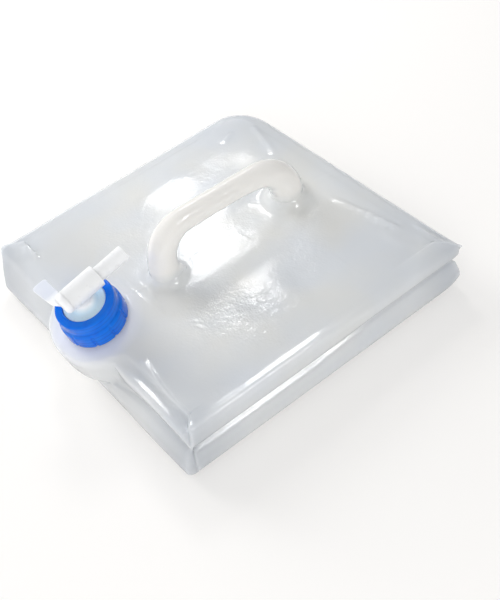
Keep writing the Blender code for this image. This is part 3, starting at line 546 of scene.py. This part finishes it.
# %% Ridges and creases
# The height and width of each in mm, the share of its length that it fades out over, then its route
RIDGES = (
    # the crisp edges along the front and the right, and the softer ones at the back
    (0.9, 2.8, 0.10, (54, -122), (81.5, -126.5), (109, -130.3), (125, -133), (136, -138.5)),
    (0.10, 3.0, 0.30, (134, -125), (134, -60), (135, 0)),
    (0.9, 3.6, 0.12, (-103, 120), (-76, 112), (-48, 104)),
    (1.5, 3.4, 0.25, (22, 99.5), (42, 103.5), (73, 110), (104, 117)),
    # broad swells: left of the handle, under it, and to its right
    (1.4, 17.0, 0.35, (-93, -45), (-92, -10), (-94, 25), (-100, 45)),
    (-1.8, 26.0, 0.25, (-34, 46), (40, 46)),
    (1.9, 25.0, 0.35, (88, -42), (88, 18)),
    # creases of the back corners
    (1.0, 3.0, 0.3, (-107, 101), (-99, 78)),
    (0.8, 2.2, 0.3, (94, 130), (121, 130), (128, 129)),
    (1.0, 2.6, 0.3, (120, 127), (131, 131), (139, 136)),
    (0.5, 5.0, 0.3, (82, 103), (108, 103), (123, 111), (128, 125)),
    # short streaks by the front left corner
    (2.4, 6.0, 0.4, (-121, -121), (-104, -132)),
    (1.2, 3.4, 0.4, (-108, -121), (-96, -126)),
    (1.4, 3.6, 0.4, (-96, -150), (-86, -145), (-78, -143)),
    # lines of the mould, and scratches
    (0.45, 1.3, 0.08, (-26, -86), (37, -84)),
    (0.40, 1.2, 0.08, (-8, -82.5), (20, -81.5)),
    (0.45, 1.2, 0.10, (0.5, -100), (0, -72)),
    (-0.22, 1.0, 0.10, (0, -40), (0, 16)),
    (0.22, 1.0, 0.20, (0, 101), (0, 134)),
    (0.22, 0.9, 0.20, (76, 55), (96, 55), (119, 56)),
    (0.35, 1.0, 0.30, (3, 14.5), (22, 18)),
    (0.30, 0.9, 0.30, (56, -75), (62, -71), (68, -70)),
    (0.30, 0.9, 0.30, (53, -72), (60, -68)),
    # pulls in the film beside the back leg
    (0.5, 1.3, 0.35, (-23, 50), (-8, 61)),
    (0.5, 1.2, 0.35, (-22, 56), (-6, 66)),
    (0.45, 1.2, 0.35, (-19, 45), (-4, 56)),
    (0.5, 1.4, 0.35, (-24, 63), (-9, 72)),
)
WRINKLED = (-0.36, 6.0, 0.25, (50, 105), (73, 109.5), (100, 114.5))  # fine wrinkles by the back edge
# The seed and spacing of the waves in that band, over the whole panel, and in the crumpled patch
BAND_WAVES, PANEL_WAVES, CRUMPLE_WAVES = (8, 9), (3, 46), (8, 11)
PANEL_WAVINESS = 0.15
BOSS_CALM = 12  # how far round the boss the film is too tight for waves
CRUMPLE_PLACE = (86, -20)
CRUMPLE_REACH = (10, 24)  # how far it is full, and how far it then fades out
CRUMPLE_SQUEEZE = 1.1  # how much narrower it is from front to back
CRUMPLE_HEIGHT = 0.14
WALL_FADE = (2.5, 2)  # after which point of the section these shapes fade out, and over how many
print(f"{len(RIDGES)} ridges, creases and lines")

# %% Boss and feet
BOSS_TOP = (37.3, 28.5)  # how far from the neck the flat top ends, in front and behind
BOSS_RUN = (5, 34)  # how far the film runs down from there, in front and behind
# The handle's legs: where each stands, how thick it is, and how far out and up the film curves to it
LEGS = ((-57.5, 12.7, 11.0, 6.0), (74.5, 14.0, 14.0, 7.5))


def add_boss(points, weight):
    """Lifts the film on to the boss's flat top. Round it the film runs down to the panel."""
    y = points[:, 1]
    ahead = (y - NECK_Y) / math.cos(NECK_TILT)
    reach = np.hypot(points[:, 0], ahead)
    behind = smooth((ahead / np.maximum(reach, 1e-6) + 0.6) / 1.2)  # 0 in front of the neck, 1 behind
    top = BOSS_TOP[0] + (BOSS_TOP[1] - BOSS_TOP[0]) * behind
    run = BOSS_RUN[0] + (BOSS_RUN[1] - BOSS_RUN[0]) * behind
    run_down = np.clip((reach - top) / run, 0, 1)
    share = ((1 - smooth(run_down)) * (1 - behind) + (1 - run_down) ** 2 * behind) * weight
    points[:, 2] += (boss_plane(y) - points[:, 2]) * share


def fillet(reach, leg):
    """How far the film has curved up towards a leg of the handle."""
    _, radius, run, rise = leg
    return rise * np.clip((radius + run - reach) / run, 0, 1) ** 3


# %% The finished film
weight = 1 - smooth((level - WALL_FADE[0]) / WALL_FADE[1])
add_boss(skin, weight)
x, y = skin[:, 0].copy(), skin[:, 1].copy()
on_boss = 1 - smooth((np.hypot(x, y - NECK_Y) - SHOULDER_RADIUS) / BOSS_CALM)
skin[:, 2] += weight * (1 - on_boss) * PANEL_WAVINESS * waves(x, y, *PANEL_WAVES)
for fold in RIDGES:
    skin[:, 2] += weight * ridge(x, y, *fold)
skin[:, 2] += weight * ridge(x, y, *WRINKLED) * waves(x, y, *BAND_WAVES)
reach = np.hypot(x - CRUMPLE_PLACE[0], (y - CRUMPLE_PLACE[1]) * CRUMPLE_SQUEEZE)
crumple = 1 - smooth((reach - CRUMPLE_REACH[0]) / CRUMPLE_REACH[1])
skin[:, 2] += weight * crumple * CRUMPLE_HEIGHT * waves(x, y, *CRUMPLE_WAVES)
level_skin = skin.copy()  # the film before it curves up to the handle
for leg in LEGS:
    skin[:, 2] += weight * fillet(np.hypot(x, y - leg[0]), leg)
film = add_piece("film", skin, faces)
print(f"film: {len(skin)} points, {np.ptp(skin, axis=0).round(1)} mm")

# %% [markdown]
# ## The handle
# The arch is blown with the bag and open to it, so it is thicker and clearer than the film. A tube swept
# along a smooth curve gives its round legs, which widen into the panel.

# %% Sizes of the handle
ARCH = (  # y, z and radius along the arch above its feet, in mm
    (-57.4, 64, 12.7),
    (-56.8, 73, 12.3),
    (-54.6, 81.5, 12.0),
    (-49.6, 89.0, 11.5),
    (-42, 94.6, 10.8),
    (-33, 96.9, 10.2),
    (-14, 96.7, 10.0),
    (6, 96.0, 10.0),
    (26, 95.2, 10.2),
    (43, 93.6, 11.0),
    (55, 89.6, 12.0),
    (64.5, 82.2, 13.0),
    (70.5, 73.5, 13.7),
    (74.2, 65, 14.0),
)
FLARE = (0.2, 0.3, 0.36, 0.42, 0.5, 0.6, 0.7, 0.8, 0.9, 1.0)  # shares of the film's curve in a foot
# How far above the film's curve a foot stands, at some of those shares
FOOT_LIFT = ((0.2, 0.36, 0.5, 1.0), (-0.9, 0.0, 0.14, 0.14))
HANDLE_STEPS = 6
HANDLE_SEGMENTS = 56
MOULD_SEAM = 0.25  # how far the seam stands out along the arch
SEAM_NARROWNESS = 30  # the seam's width is about the arch's width over this
# The bump inside the front foot: its depth, its way and width in degrees, its height and how tall it is
LUG = (4.0, 63, 26, 57, 4)
UNDER_HANDLE = (34, 40)  # how far aside and how low the film under the handle reaches

# %% The handle's feet
aside, low = UNDER_HANDLE
under_handle = level_skin[(np.abs(level_skin[:, 0]) < aside) & (level_skin[:, 2] > low)]
NEARNESS = 0.05  # mm, added to each gap so that a gap of 0 can be divided by


def film_level(x, y):
    """The film's height at a place, before it curves up to a leg."""
    gaps = np.hypot(under_handle[:, 0] - x, under_handle[:, 1] - y)
    near = np.argpartition(gaps, 4)[:4]
    return float(np.average(under_handle[near, 2], weights=1 / (gaps[near] + NEARNESS)))


def foot_stations(leg):
    """The flare of a foot: just above the film near the leg, and just under it further out."""
    y0, radius, run, rise = leg
    base = film_level(0, y0)
    rows = []
    for share in FLARE:
        lift = np.interp(share, *FOOT_LIFT)
        rows.append((y0, base + rise * share**3 + lift, radius + run * (1 - share)))
    return rows


def rest_on_film(points, leg, foot):
    """The foot's lower end bent to the film, which isn't level."""
    base, top = foot[0][1], foot[-1][1]
    middle = film_level(0, leg[0])
    reach = leg[1] + leg[2] + 1
    for i in np.where((np.abs(points[:, 1] - leg[0]) < reach) & (points[:, 2] < top))[0]:
        share = 1 - smooth((points[i, 2] - base) / (top - base))
        points[i, 2] += (film_level(points[i, 0], points[i, 1]) - middle) * share


# %% The handle's tube
def tube(line, segments, seam):
    """A closed tube along a line in the plane x = 0."""
    along = np.gradient(line[:, :2], axis=0)
    along /= np.linalg.norm(along, axis=1)[:, None]
    angle = np.arange(segments) / segments * math.tau
    near_seam = np.minimum(np.abs(np.sin(angle / 2 - math.pi / 4)), np.abs(np.sin(angle / 2 + math.pi / 4)))
    radius = line[:, 2:3] + seam * np.exp(-((near_seam * SEAM_NARROWNESS) ** 2))[None]
    x = radius * np.cos(angle)[None]
    y = line[:, :1] - along[:, 1:] * radius * np.sin(angle)[None]
    z = line[:, 1:2] + along[:, :1] * radius * np.sin(angle)[None]
    points = np.stack([x, y, z], -1).reshape(-1, 3)
    number = np.arange(len(points)).reshape(len(line), segments)
    faces = []
    for low, high in zip(number, number[1:]):
        faces += np.stack([low, np.roll(low, -1), np.roll(high, -1), high], -1).tolist()
    faces += [number[0][::-1].tolist(), number[-1].tolist()]
    return points, faces


# %% Build the handle
front_foot, back_foot = (foot_stations(leg) for leg in LEGS)
line = curve_through(np.array([*front_foot, *ARCH, *back_foot[::-1]], dtype=float), HANDLE_STEPS)
points, faces = tube(line, HANDLE_SEGMENTS, MOULD_SEAM)
for leg, foot in zip(LEGS, (front_foot, back_foot)):
    rest_on_film(points, leg, foot)
depth, way, width, height, tall = LUG
turn = np.degrees(np.arctan2(points[:, 1] - LEGS[0][0], points[:, 0]))
bump = depth * np.exp(-(((turn - way) / width) ** 2) - ((points[:, 2] - height) / tall) ** 2)
bump *= points[:, 1] < 0
points[:, 0] += bump * math.cos(math.radians(way))
points[:, 1] += bump * math.sin(math.radians(way))
arch = add_piece("handle_arch", points, faces)
print(f"handle: {len(points)} points, top at {points[:, 2].max():.1f} mm")

# %% [markdown]
# The handle and the panel are one moulding, with no gap between them. Two shapes that only overlap would
# show a dark ring where the foot meets the film, so a Boolean union joins them to one closed skin. Each of
# its points then remembers where it lies on the folded bag, and the finish uses that place, so that the
# handle's thicker plastic stays in the handle when the bag opens.

# %% One moulding
join = film.modifiers.new("join", "BOOLEAN")
join.operation = "UNION"
join.solver = "EXACT"
join.object = arch
whole = bpy.data.meshes.new_from_object(film.evaluated_get(bpy.context.evaluated_depsgraph_get()))
film.modifiers.clear()
film.data = whole
bpy.data.objects.remove(arch, do_unlink=True)
whole.shade_smooth()
whole.set_sharp_from_angle(angle=math.radians(SHARP_ANGLE))
rest_place = whole.attributes.new("rest_place", "FLOAT_VECTOR", "POINT")
rest_place.data.foreach_set("vector", np.array([v.co for v in whole.vertices], dtype=np.float32).ravel())
print(f"film and handle: {len(whole.vertices)} points, {len(whole.polygons)} faces")

# %% [markdown]
# ## The collar and the tap
# These are injection mouldings, stiff and exact, so they are turned from outlines: a closed outline swept
# round an axis, with its corners rounded as a mould rounds them. They stand in two frames: the neck's, which
# leans outwards, and the barrel's, which lies across it.

# %% Frames and turned shapes
BARREL_HEIGHT = 39.9  # from the neck's foot to the barrel's axis
neck_frame = Matrix.Translation((0, NECK_Y, NECK_Z)) @ Matrix.Rotation(NECK_TILT, 4, "X")
barrel_frame = neck_frame @ Matrix.Translation((0, 0, BARREL_HEIGHT)) @ Matrix.Rotation(-math.pi / 2, 4, "X")
ROUND_STEPS = 5
TURN_SEGMENTS = 120


def rounded(outline, reaches):
    """A closed outline with each corner rounded over its own reach. A reach of 0 leaves the corner sharp."""
    soft = []
    for i, (corner, reach) in enumerate(zip(outline, reaches)):
        if not reach:
            soft.append(corner)
            continue
        here = Vector(corner)
        before = here.lerp(Vector(outline[i - 1]), reach / (here - Vector(outline[i - 1])).length)
        ahead = Vector(outline[(i + 1) % len(outline)])
        after = here.lerp(ahead, reach / (ahead - here).length)
        for step in range(ROUND_STEPS + 1):
            s = step / ROUND_STEPS
            soft.append(tuple(before * (1 - s) ** 2 + here * 2 * s * (1 - s) + after * s * s))
    return soft


def turned(outline, frame, reshape=None, segments=TURN_SEGMENTS):
    """Points and faces of a ring: a closed outline of radius and height, swept round the frame's axis."""
    outline = np.array(outline, dtype=float)
    angle = np.arange(segments) / segments * math.tau
    radius = np.repeat(outline[:, :1], segments, 1)
    height = np.repeat(outline[:, 1:], segments, 1)
    if reshape:
        radius, height = reshape(radius, height, angle[None])
    points = np.stack([radius * np.cos(angle), radius * np.sin(angle), height], -1).reshape(-1, 3)
    number = np.arange(len(points)).reshape(len(outline), -1)
    faces = []
    for low, high in zip(number, np.roll(number, -1, 0)):
        faces += np.stack([low, np.roll(low, -1), np.roll(high, -1), high], -1).tolist()
    return placed(points, frame), faces


def placed(points, frame):
    """Points drawn in a frame, moved to where that frame stands."""
    matrix = np.array(frame)
    return points @ matrix[:3, :3].T + matrix[:3, 3]


def together(*parts):
    """The points and faces of several closed shapes as one mesh."""
    points, faces, total = [], [], 0
    for part_points, part_faces in parts:
        faces += [[i + total for i in face] for face in part_faces]
        points.append(part_points)
        total += len(part_points)
    return np.concatenate(points), faces


# %% [markdown]
# The collar's skirt has ten broad panels with narrow grooves between them, for a wet hand to grip. Above it
# is a plain ring, and inside the ring a lip holds the tap's flange down.

# %% Collar
COLLAR_OUTLINE = ((23.6, 1.8), (25.9, 1.8), (25.9, 14.6), (24.7, 18.2), (24.7, 27.5), (18.1, 27.5))
COLLAR_OUTLINE += ((18.1, 25.2), (23.6, 25.2))
COLLAR_ROUNDS = (0.3, 0.9, 1.8, 1.8, 2.2, 0.6, 0.3, 0.3)
PANELS = 10
PANEL_DEPTH = 0.8
# Where each groove begins and ends, as shares of one panel's turn, with the share of the panel's depth
PANEL_SHARES = ((0.0, 1.0), (0.05, 0.0), (0.12, 0.0), (0.17, 1.0), (1.0, 1.0))
SKIRT_INSIDE = 24.5  # the radius outside which the skirt's panels lie
SKIRT_FADE = (13.5, 4.5)  # the height at which the panels begin to fade out, and over how much


def with_panels(radius, height, angle):
    """The ring's outside with the skirt's panels on it."""
    share = angle * PANELS / math.tau % 1
    stands = smooth(np.interp(share, *zip(*PANEL_SHARES)))
    on_skirt = (radius > SKIRT_INSIDE) * (1 - smooth((height - SKIRT_FADE[0]) / SKIRT_FADE[1]))
    return radius + PANEL_DEPTH * stands * on_skirt, height


COLLAR_SEGMENTS = 300
collar_outline = rounded(COLLAR_OUTLINE, COLLAR_ROUNDS)
collar = add_piece("screw_collar", *turned(collar_outline, neck_frame, with_panels, COLLAR_SEGMENTS))
print(f"collar: {len(collar.data.vertices)} points")

# %% [markdown]
# The tap is one moulding: a flange that the collar clamps, a short stem, a barrel across it and the spout.
# A separate plug turns in the barrel, with a flat lever on its head that a thumb can push.

# %% Outlines of the tap
FLANGE_OUTLINE = ((3.9, 24.3), (15, 24.3), (15, 22.9), (22, 22.9), (22, 24.9), (17.6, 24.9))
FLANGE_OUTLINE += ((17.6, 26.3), (11.8, 26.3), (7.4, 29.9), (7.4, 34), (3.9, 34))
FLANGE_ROUNDS = (0, 0, 0.3, 0.3, 0.3, 0.2, 0.5, 1.6, 1.6, 0, 0)
STEM_TOP = 33.9  # where the stem begins to follow the barrel's underside
BARREL_MIDDLE_WALL = 8.2  # radius of the middle of the barrel's wall, where the stem ends
STEM_REACH = 7.5  # how far from the stem's middle its top follows the barrel
BARREL_OUTLINE = ((9.3, -9.45), (9.3, 20.4), (6.3, 21.2), (6.3, 47.3), (4.3, 47.3), (4.3, 20.0))
BARREL_OUTLINE += ((7.0, 20.0), (7.0, -9.45))
BARREL_ROUNDS = (0.2, 0.7, 0.5, 0.7, 0.3, 0.3, 0.3, 0.3)
PLUG_OUTLINE = ((1.0, -15.6), (9.1, -15.6), (9.1, -9.5), (6.6, -9.5), (6.6, -6.95), (5.2, -6.95))
PLUG_OUTLINE += ((5.2, -5.05), (6.6, -5.05), (6.6, 7.55), (5.2, 7.55), (5.2, 9.45), (6.6, 9.45))
PLUG_OUTLINE += ((6.6, 17.3), (1.0, 17.3))
PLUG_ROUNDS = (0, 4.2, 0.15, 0, 0.2, 0.2, 0.2, 0.2, 0.2, 0.2, 0.2, 0.2, 0.4, 0)
LEVER_OUTLINE = ((0, -9.5), (0, -15.4), (-7.0, -20.2), (-32.4, -23.0), (-32.4, -9.5))
LEVER_ROUNDS = (0, 0, 3.0, 3.6, 3.6)
LEVER_ROWS = ((-1.5, 0.7), (-0.9, 0.12), (-0.3, 0), (0.3, 0), (0.9, 0.12), (1.5, 0.7))  # height and inset


# %% Tap and plug
def under_barrel(radius, height, angle):
    """The stem's top follows the round underside of the barrel."""
    aside = np.minimum(radius * np.abs(np.cos(angle)), STEM_REACH)
    top = BARREL_HEIGHT - np.sqrt(BARREL_MIDDLE_WALL**2 - aside**2)
    return radius, np.where(height > STEM_TOP, top, height)


def lever_plate():
    """A flat plate with soft edges, drawn in the barrel's frame."""
    outline = np.array(rounded(LEVER_OUTLINE, LEVER_ROUNDS))
    middle = outline.mean(0)
    spokes = outline - middle
    spokes /= np.linalg.norm(spokes, axis=1)[:, None]
    rows = [np.insert(outline - spokes * inset, 1, height, axis=1) for height, inset in LEVER_ROWS]
    count = len(outline)
    number = np.arange(count * len(rows)).reshape(len(rows), count)
    faces = [number[0].tolist(), number[-1][::-1].tolist()]
    for low, high in zip(number, number[1:]):
        faces += np.stack([low, high, np.roll(high, -1), np.roll(low, -1)], -1).tolist()
    return placed(np.concatenate(rows), barrel_frame), faces


flange_and_stem = turned(rounded(FLANGE_OUTLINE, FLANGE_ROUNDS), neck_frame, under_barrel)
barrel_and_spout = turned(rounded(BARREL_OUTLINE, BARREL_ROUNDS), barrel_frame)
tap = add_piece("tap_moulding", *together(flange_and_stem, barrel_and_spout))
plug_body = turned(rounded(PLUG_OUTLINE, PLUG_ROUNDS), barrel_frame)
plug = add_piece("plug_and_lever", *together(plug_body, lever_plate()))
print(f"tap: {len(tap.data.vertices)} points, plug: {len(plug.data.vertices)} points")

# %% [markdown]
# ## Finishes
# The bag's polyethylene is milky: light goes in, scatters and comes out somewhere else, so the bag seems
# to glow and has no hard shadows. Its skin is glossy, with wrinkles of one or two millimetres that break a
# mirrored light up into sparks. Every pattern is sized from the real thing, in millimetres.


# %% A plastic's material
PATCH_DETAIL = 2.0  # how many finer layers the patches have
EVENLY = (1, 1, 1)  # red, green and blue light wander equally far


def plastic(name, colour, roughness, ior, scatter, sizes):
    """A plastic's material, with its shader and a pattern of uneven patches for each size in mm.

    Scatter is how much of the light goes in, how far it wanders in mm, and how far by its colour.
    """
    made = bpy.data.materials.new(name)
    made.use_nodes = True
    tree = made.node_tree
    shader = tree.nodes["Principled BSDF"]
    weight, depth, radii = scatter
    settings = {"Base Color": linear(colour), "Roughness": roughness, "IOR": ior}
    settings |= {"Subsurface Weight": weight, "Subsurface Radius": radii, "Subsurface Scale": depth * MM}
    for key, value in settings.items():
        shader.inputs[key].default_value = value
    where = add_node(tree, "TexCoord").outputs["Object"]
    patches = []
    for size in sizes:
        settings = {"Scale": 1 / (size * MM), "Detail": PATCH_DETAIL, "Vector": where}
        patches.append(add_node(tree, "TexNoise", settings).outputs["Fac"])
    return made, tree, shader, patches


# %% [markdown]
# No plastic has one colour all over: it turns where it is thicker or cloudier. Some tints here are painted
# light and shade: a whiter film by the neck, a darker outline, outer band and corner tips, and the collar's
# blue light on the tap's flange. So a colour here starts plain and is turned by tints, one after the other.
# Each tint has a value that decides its share, such as a pattern or a height, and a range over which the
# share goes from one level to another.
# The relief is built up in the same way, in layers from fine to coarse.


# %% Tints and relief
def tinted(tree, code, *tints):
    """A colour turned by each tint in order: its value, the ranges of value and share, and its colour."""
    colour = linear(code)
    for value, limits, tint in tints:
        share = add_node(tree, "MapRange", dict(zip(RANGE, limits), Value=value)).outputs[0]
        settings = {"data_type": "RGBA", 0: share, 6: colour, 7: linear(tint)}
        colour = add_node(tree, "Mix", settings).outputs[2]
    return colour


def give_finish(tree, shader, sockets, layers):
    """Links a plastic's sockets and its relief, in layers of height, strength and depth in mm."""
    normal = None
    for height, strength, depth in layers:
        settings = {"Height": height, "Strength": strength, "Distance": depth * MM}
        if normal:
            settings["Normal"] = normal
        normal = add_node(tree, "Bump", settings).outputs[0]
    for name, source in {**sockets, "Normal": normal}.items():
        tree.links.new(source, shader.inputs[name])


# %% Where the film changes, in metres on the folded bag
SLACK = (0.085, 0.130)  # from the middle: the panel's film is slack up to here, and tight from there on
PAINTED_OUTER_SHADE = (0.100, 0.150)  # from the middle: painted shade makes the film greyer towards its outer band and outline
PAINTED_TIP_SHADE = (0.165, 0.195)  # from the middle: the tips of the corners lie double, and painted shade darkens them
THICKER = (0.056, 0.066)  # height: the handle's wall is thicker, and light wanders less far in it
PAINTED_LIGHT_AT_NECK = ((0, -0.130, 0.056), (0.028, 0.042))  # a place by the neck, and how far round it painted light whitens the film against the collar's shade
CRUMPLED = ((0.088, -0.020, 0.051), (0.010, 0.040))  # a place, and how far round it there are wrinkles
SCATTER = (0.020, 0.008)  # how far light wanders in the film and in the handle

# %% Milky polyethylene film
# Blown polyethylene: its body is cloudy and glows softly, and its skin is smooth from the mould, so that
# lamps are mirrored sharply in it. Small wrinkles of 2 and 6 mm break them up where the film is slack.
milky, tree, shader, (cloudy, uneven, fine, coarse) = plastic(
    "milky_polyethylene_film", "#dfe0df", 0.12, 1.51, (0.8, 20.0, EVENLY), (60, 9, 1.7, 6)
)
rest = add_node(tree, "Attribute", {"attribute_name": "rest_place"}).outputs["Vector"]
flat = add_node(tree, "VectorMath", {"operation": "MULTIPLY", 0: rest, 1: (1, 1, 0)}).outputs[0]
spread = add_node(tree, "VectorMath", {"operation": "LENGTH", 0: flat}).outputs["Value"]
height = add_node(tree, "SeparateXYZ", {0: rest}).outputs["Z"]
painted_outline_shade = add_node(tree, "LayerWeight", {"Blend": 0.5}).outputs["Facing"]
gaps = []
for place, _ in (PAINTED_LIGHT_AT_NECK, CRUMPLED):
    settings = {"operation": "DISTANCE", 0: rest, 1: place}
    gaps.append(add_node(tree, "VectorMath", settings).outputs["Value"])
print(f"{len(gaps)} places in the film, and {len(tree.nodes)} nodes so far")

# %% The film's finish
levels = []
for value, limits in (
    (spread, (*SLACK, 1.0, 0.35)),
    (gaps[1], (*CRUMPLED[1], 1.0, 0.0)),
    (height, (*THICKER, *SCATTER)),
    (uneven, (0.3, 0.7, 0.09, 0.17)),
):
    levels.append(add_node(tree, "MapRange", dict(zip(RANGE, limits), Value=value)).outputs[0])
slack, crumpled, wandering, roughness = levels
colour = tinted(
    tree,
    "#dee1e4",
    (cloudy, (0.35, 0.65, 0.0, 1.0), "#e2e2df"),
    # painted shade: the film is greyer towards the outside
    (spread, (*PAINTED_OUTER_SHADE, 0.0, 0.5), "#c6cacf"),
    # painted shade: the corner tips are darker
    (spread, (*PAINTED_TIP_SHADE, 0.0, 0.6), "#a9aeb5"),
    (height, (*THICKER, 0.0, 1.0), "#eceae6"),
    # painted light: the film is whiter round the neck, against the collar's shade
    (gaps[0], (*PAINTED_LIGHT_AT_NECK[1], 0.85, 0.0), "#f0f1f5"),
    # Painted shade: the film is darker where it is seen along its surface, which darkens the bag's outline
    (painted_outline_shade, (0.60, 0.97, 0.0, 0.55), "#aeb3b8"),
)
wrinkles = ((fine, slack, 0.12), (fine, crumpled, 0.14), (coarse, crumpled, 0.5), (coarse, slack, 0.2))
sockets = {"Base Color": colour, "Subsurface Scale": wandering, "Roughness": roughness}
give_finish(tree, shader, sockets, wrinkles)
print(f"milky film: {len(tree.nodes)} nodes")

# %% [markdown]
# The collar and the tap are injection moulded in polypropylene. It is slightly waxy, with a softer gloss
# than the film, and light goes a few millimetres into it. The blue is clear enough to show the screw
# thread inside the collar as darker lines, and its blue light on the tap's thin flange is painted as a tint.

# %% A place along the neck
NECK_PLACE = {
    "vector_type": "TEXTURE",
    "Location": (0, NECK_Y * MM, NECK_Z * MM),
    "Rotation": (NECK_TILT, 0, 0),
}


def along_neck(tree):
    """The height above the neck's foot, in metres."""
    where = add_node(tree, "TexCoord").outputs["Object"]
    local = add_node(tree, "Mapping", {**NECK_PLACE, "Vector": where}).outputs[0]
    return add_node(tree, "SeparateXYZ", {0: local}).outputs["Z"]


# %% White polypropylene
# Injection moulded: an even white with a satin skin, and faint sink marks of 8 mm
FLANGE_PAINTED_BLUE_LIGHT = (0.0268, 0.0300)  # m above the neck's foot: painted blue light from the collar on what is lower
white_tap, tree, shader, (cloudy, uneven, grain, sinks) = plastic(
    "white_polypropylene", "#f4f6f8", 0.30, 1.49, (0.6, 5.0, EVENLY), (14, 5, 0.9, 8)
)
colour = tinted(
    tree,
    "#f8fafc",
    (cloudy, (0.0, 1.0, 0.0, 1.0), "#fdfdfc"),
    # painted blue light from the collar on the flange
    (along_neck(tree), (*FLANGE_PAINTED_BLUE_LIGHT, 1.0, 0.0), "#cfe6f5"),
)
settings = dict(zip(RANGE, (0.3, 0.7, 0.24, 0.38)), Value=uneven)
roughness = add_node(tree, "MapRange", settings).outputs[0]
sockets = {"Base Color": colour, "Roughness": roughness}
give_finish(tree, shader, sockets, ((grain, 1.0, 0.006), (sinks, 1.0, 0.05)))
print(f"white tap: {len(tree.nodes)} nodes")

# %% Lilac-white polypropylene
# The same plastic in a thin plate, which lets more light through and looks cooler
LILAC_END = (-0.015, -0.009)  # m across: the lever is lilac and the plug's head is white
white_lever, tree, shader, (cloudy, grain, sinks) = plastic(
    "lilac_white_polypropylene", "#e6e9f0", 0.34, 1.49, (0.6, 5.0, EVENLY), (10, 0.9, 7)
)
where = add_node(tree, "TexCoord").outputs["Object"]
across = add_node(tree, "SeparateXYZ", {0: where}).outputs["X"]
colour = tinted(
    tree,
    "#d8dce6",
    (cloudy, (0.0, 1.0, 0.0, 1.0), "#e2e5ec"),
    (across, (*LILAC_END, 0.0, 1.0), "#fafbfc"),
)
give_finish(tree, shader, {"Base Color": colour}, ((grain, 1.0, 0.006), (sinks, 1.0, 0.05)))
print(f"lever: {len(tree.nodes)} nodes")

# %% Blue polypropylene
# Dyed right through and slightly clear: deep blue, paler where it is cloudy, and painted shade darkens it at
# its edges, where it is seen along its surface
THREAD_PITCH = 4  # mm
blue, tree, shader, (cloudy, ripples) = plastic(
    "blue_polypropylene", "#0a6cf2", 0.17, 1.49, (0.25, 2.0, (0.1, 0.4, 1.0)), (7, 6)
)
shader.inputs["Specular IOR Level"].default_value = 0.25
settings = {"operation": "MULTIPLY", 0: along_neck(tree), 1: math.tau / (THREAD_PITCH * MM)}
turns = add_node(tree, "Math", settings).outputs[0]
thread = add_node(tree, "Math", {"operation": "SINE", 0: turns}).outputs[0]
edge = add_node(tree, "LayerWeight", {"Blend": 0.5}).outputs["Facing"]
colour = tinted(
    tree,
    "#0a6cde",
    (thread, (0.2, 0.95, 0.0, 0.55), "#0a52ba"),
    (cloudy, (0.35, 0.7, 0.0, 0.35), "#0f80e6"),
    # painted shade: darker where the collar is seen along its surface
    (edge, (0.55, 0.98, 0.0, 0.7), "#0a50be"),
)
give_finish(tree, shader, {"Base Color": colour}, ((ripples, 1.0, 0.05),))
print(f"blue collar: {len(tree.nodes)} nodes, thread lines {THREAD_PITCH} mm apart")

# %% Grey silicone rubber
# Moulded silicone: matt and a little cloudy, with a grain as fine as its mould's, of 0.4 mm
rubber, tree, shader, (cloudy, grain) = plastic(
    "grey_silicone_rubber", "#8f9294", 0.55, 1.43, (0.2, 1.0, EVENLY), (3, 0.4)
)
colour = tinted(tree, "#85888a", (cloudy, (0.0, 1.0, 0.0, 1.0), "#999c9e"))
give_finish(tree, shader, {"Base Color": colour}, ((grain, 1.0, 0.01),))
print(f"rubber: {len(tree.nodes)} nodes")

# %% [markdown]
# ## Dressing the frame
# Each piece gets its finish. The collar, the tap and the plug go with their bodies and hide the solids that
# they stand for, and the film hides the panels, walls, shoulder and handle. The neck, the gasket and the two
# O-rings show as their own solids.

# %% Dress the pieces
FINISHES = {film: milky, collar: blue, tap: white_tap, plug: white_lever}
for name, node in frame["nodes"].items():
    FINISHES[node] = rubber if "ring" in name or "gasket" in name else milky
for piece, finish in FINISHES.items():
    piece.data.materials.clear()
    piece.data.materials.append(finish)
print(f"finishes: {len(set(FINISHES.values()))} on {len(FINISHES)} pieces and solids")

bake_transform(film)
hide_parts("bottom_panel", "top_panel", "wall_front", "wall_right", "wall_back", "wall_left")
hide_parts("neck_shoulder", "handle")
for piece, body, node, slot in (
    (collar, "collar", "collar", "collar_blue"),
    (tap, "tap", "tap_body", "tap_white"),
    (plug, "plug", "tap_plug", "tap_white"),
):
    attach(piece, body)
    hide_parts(node)
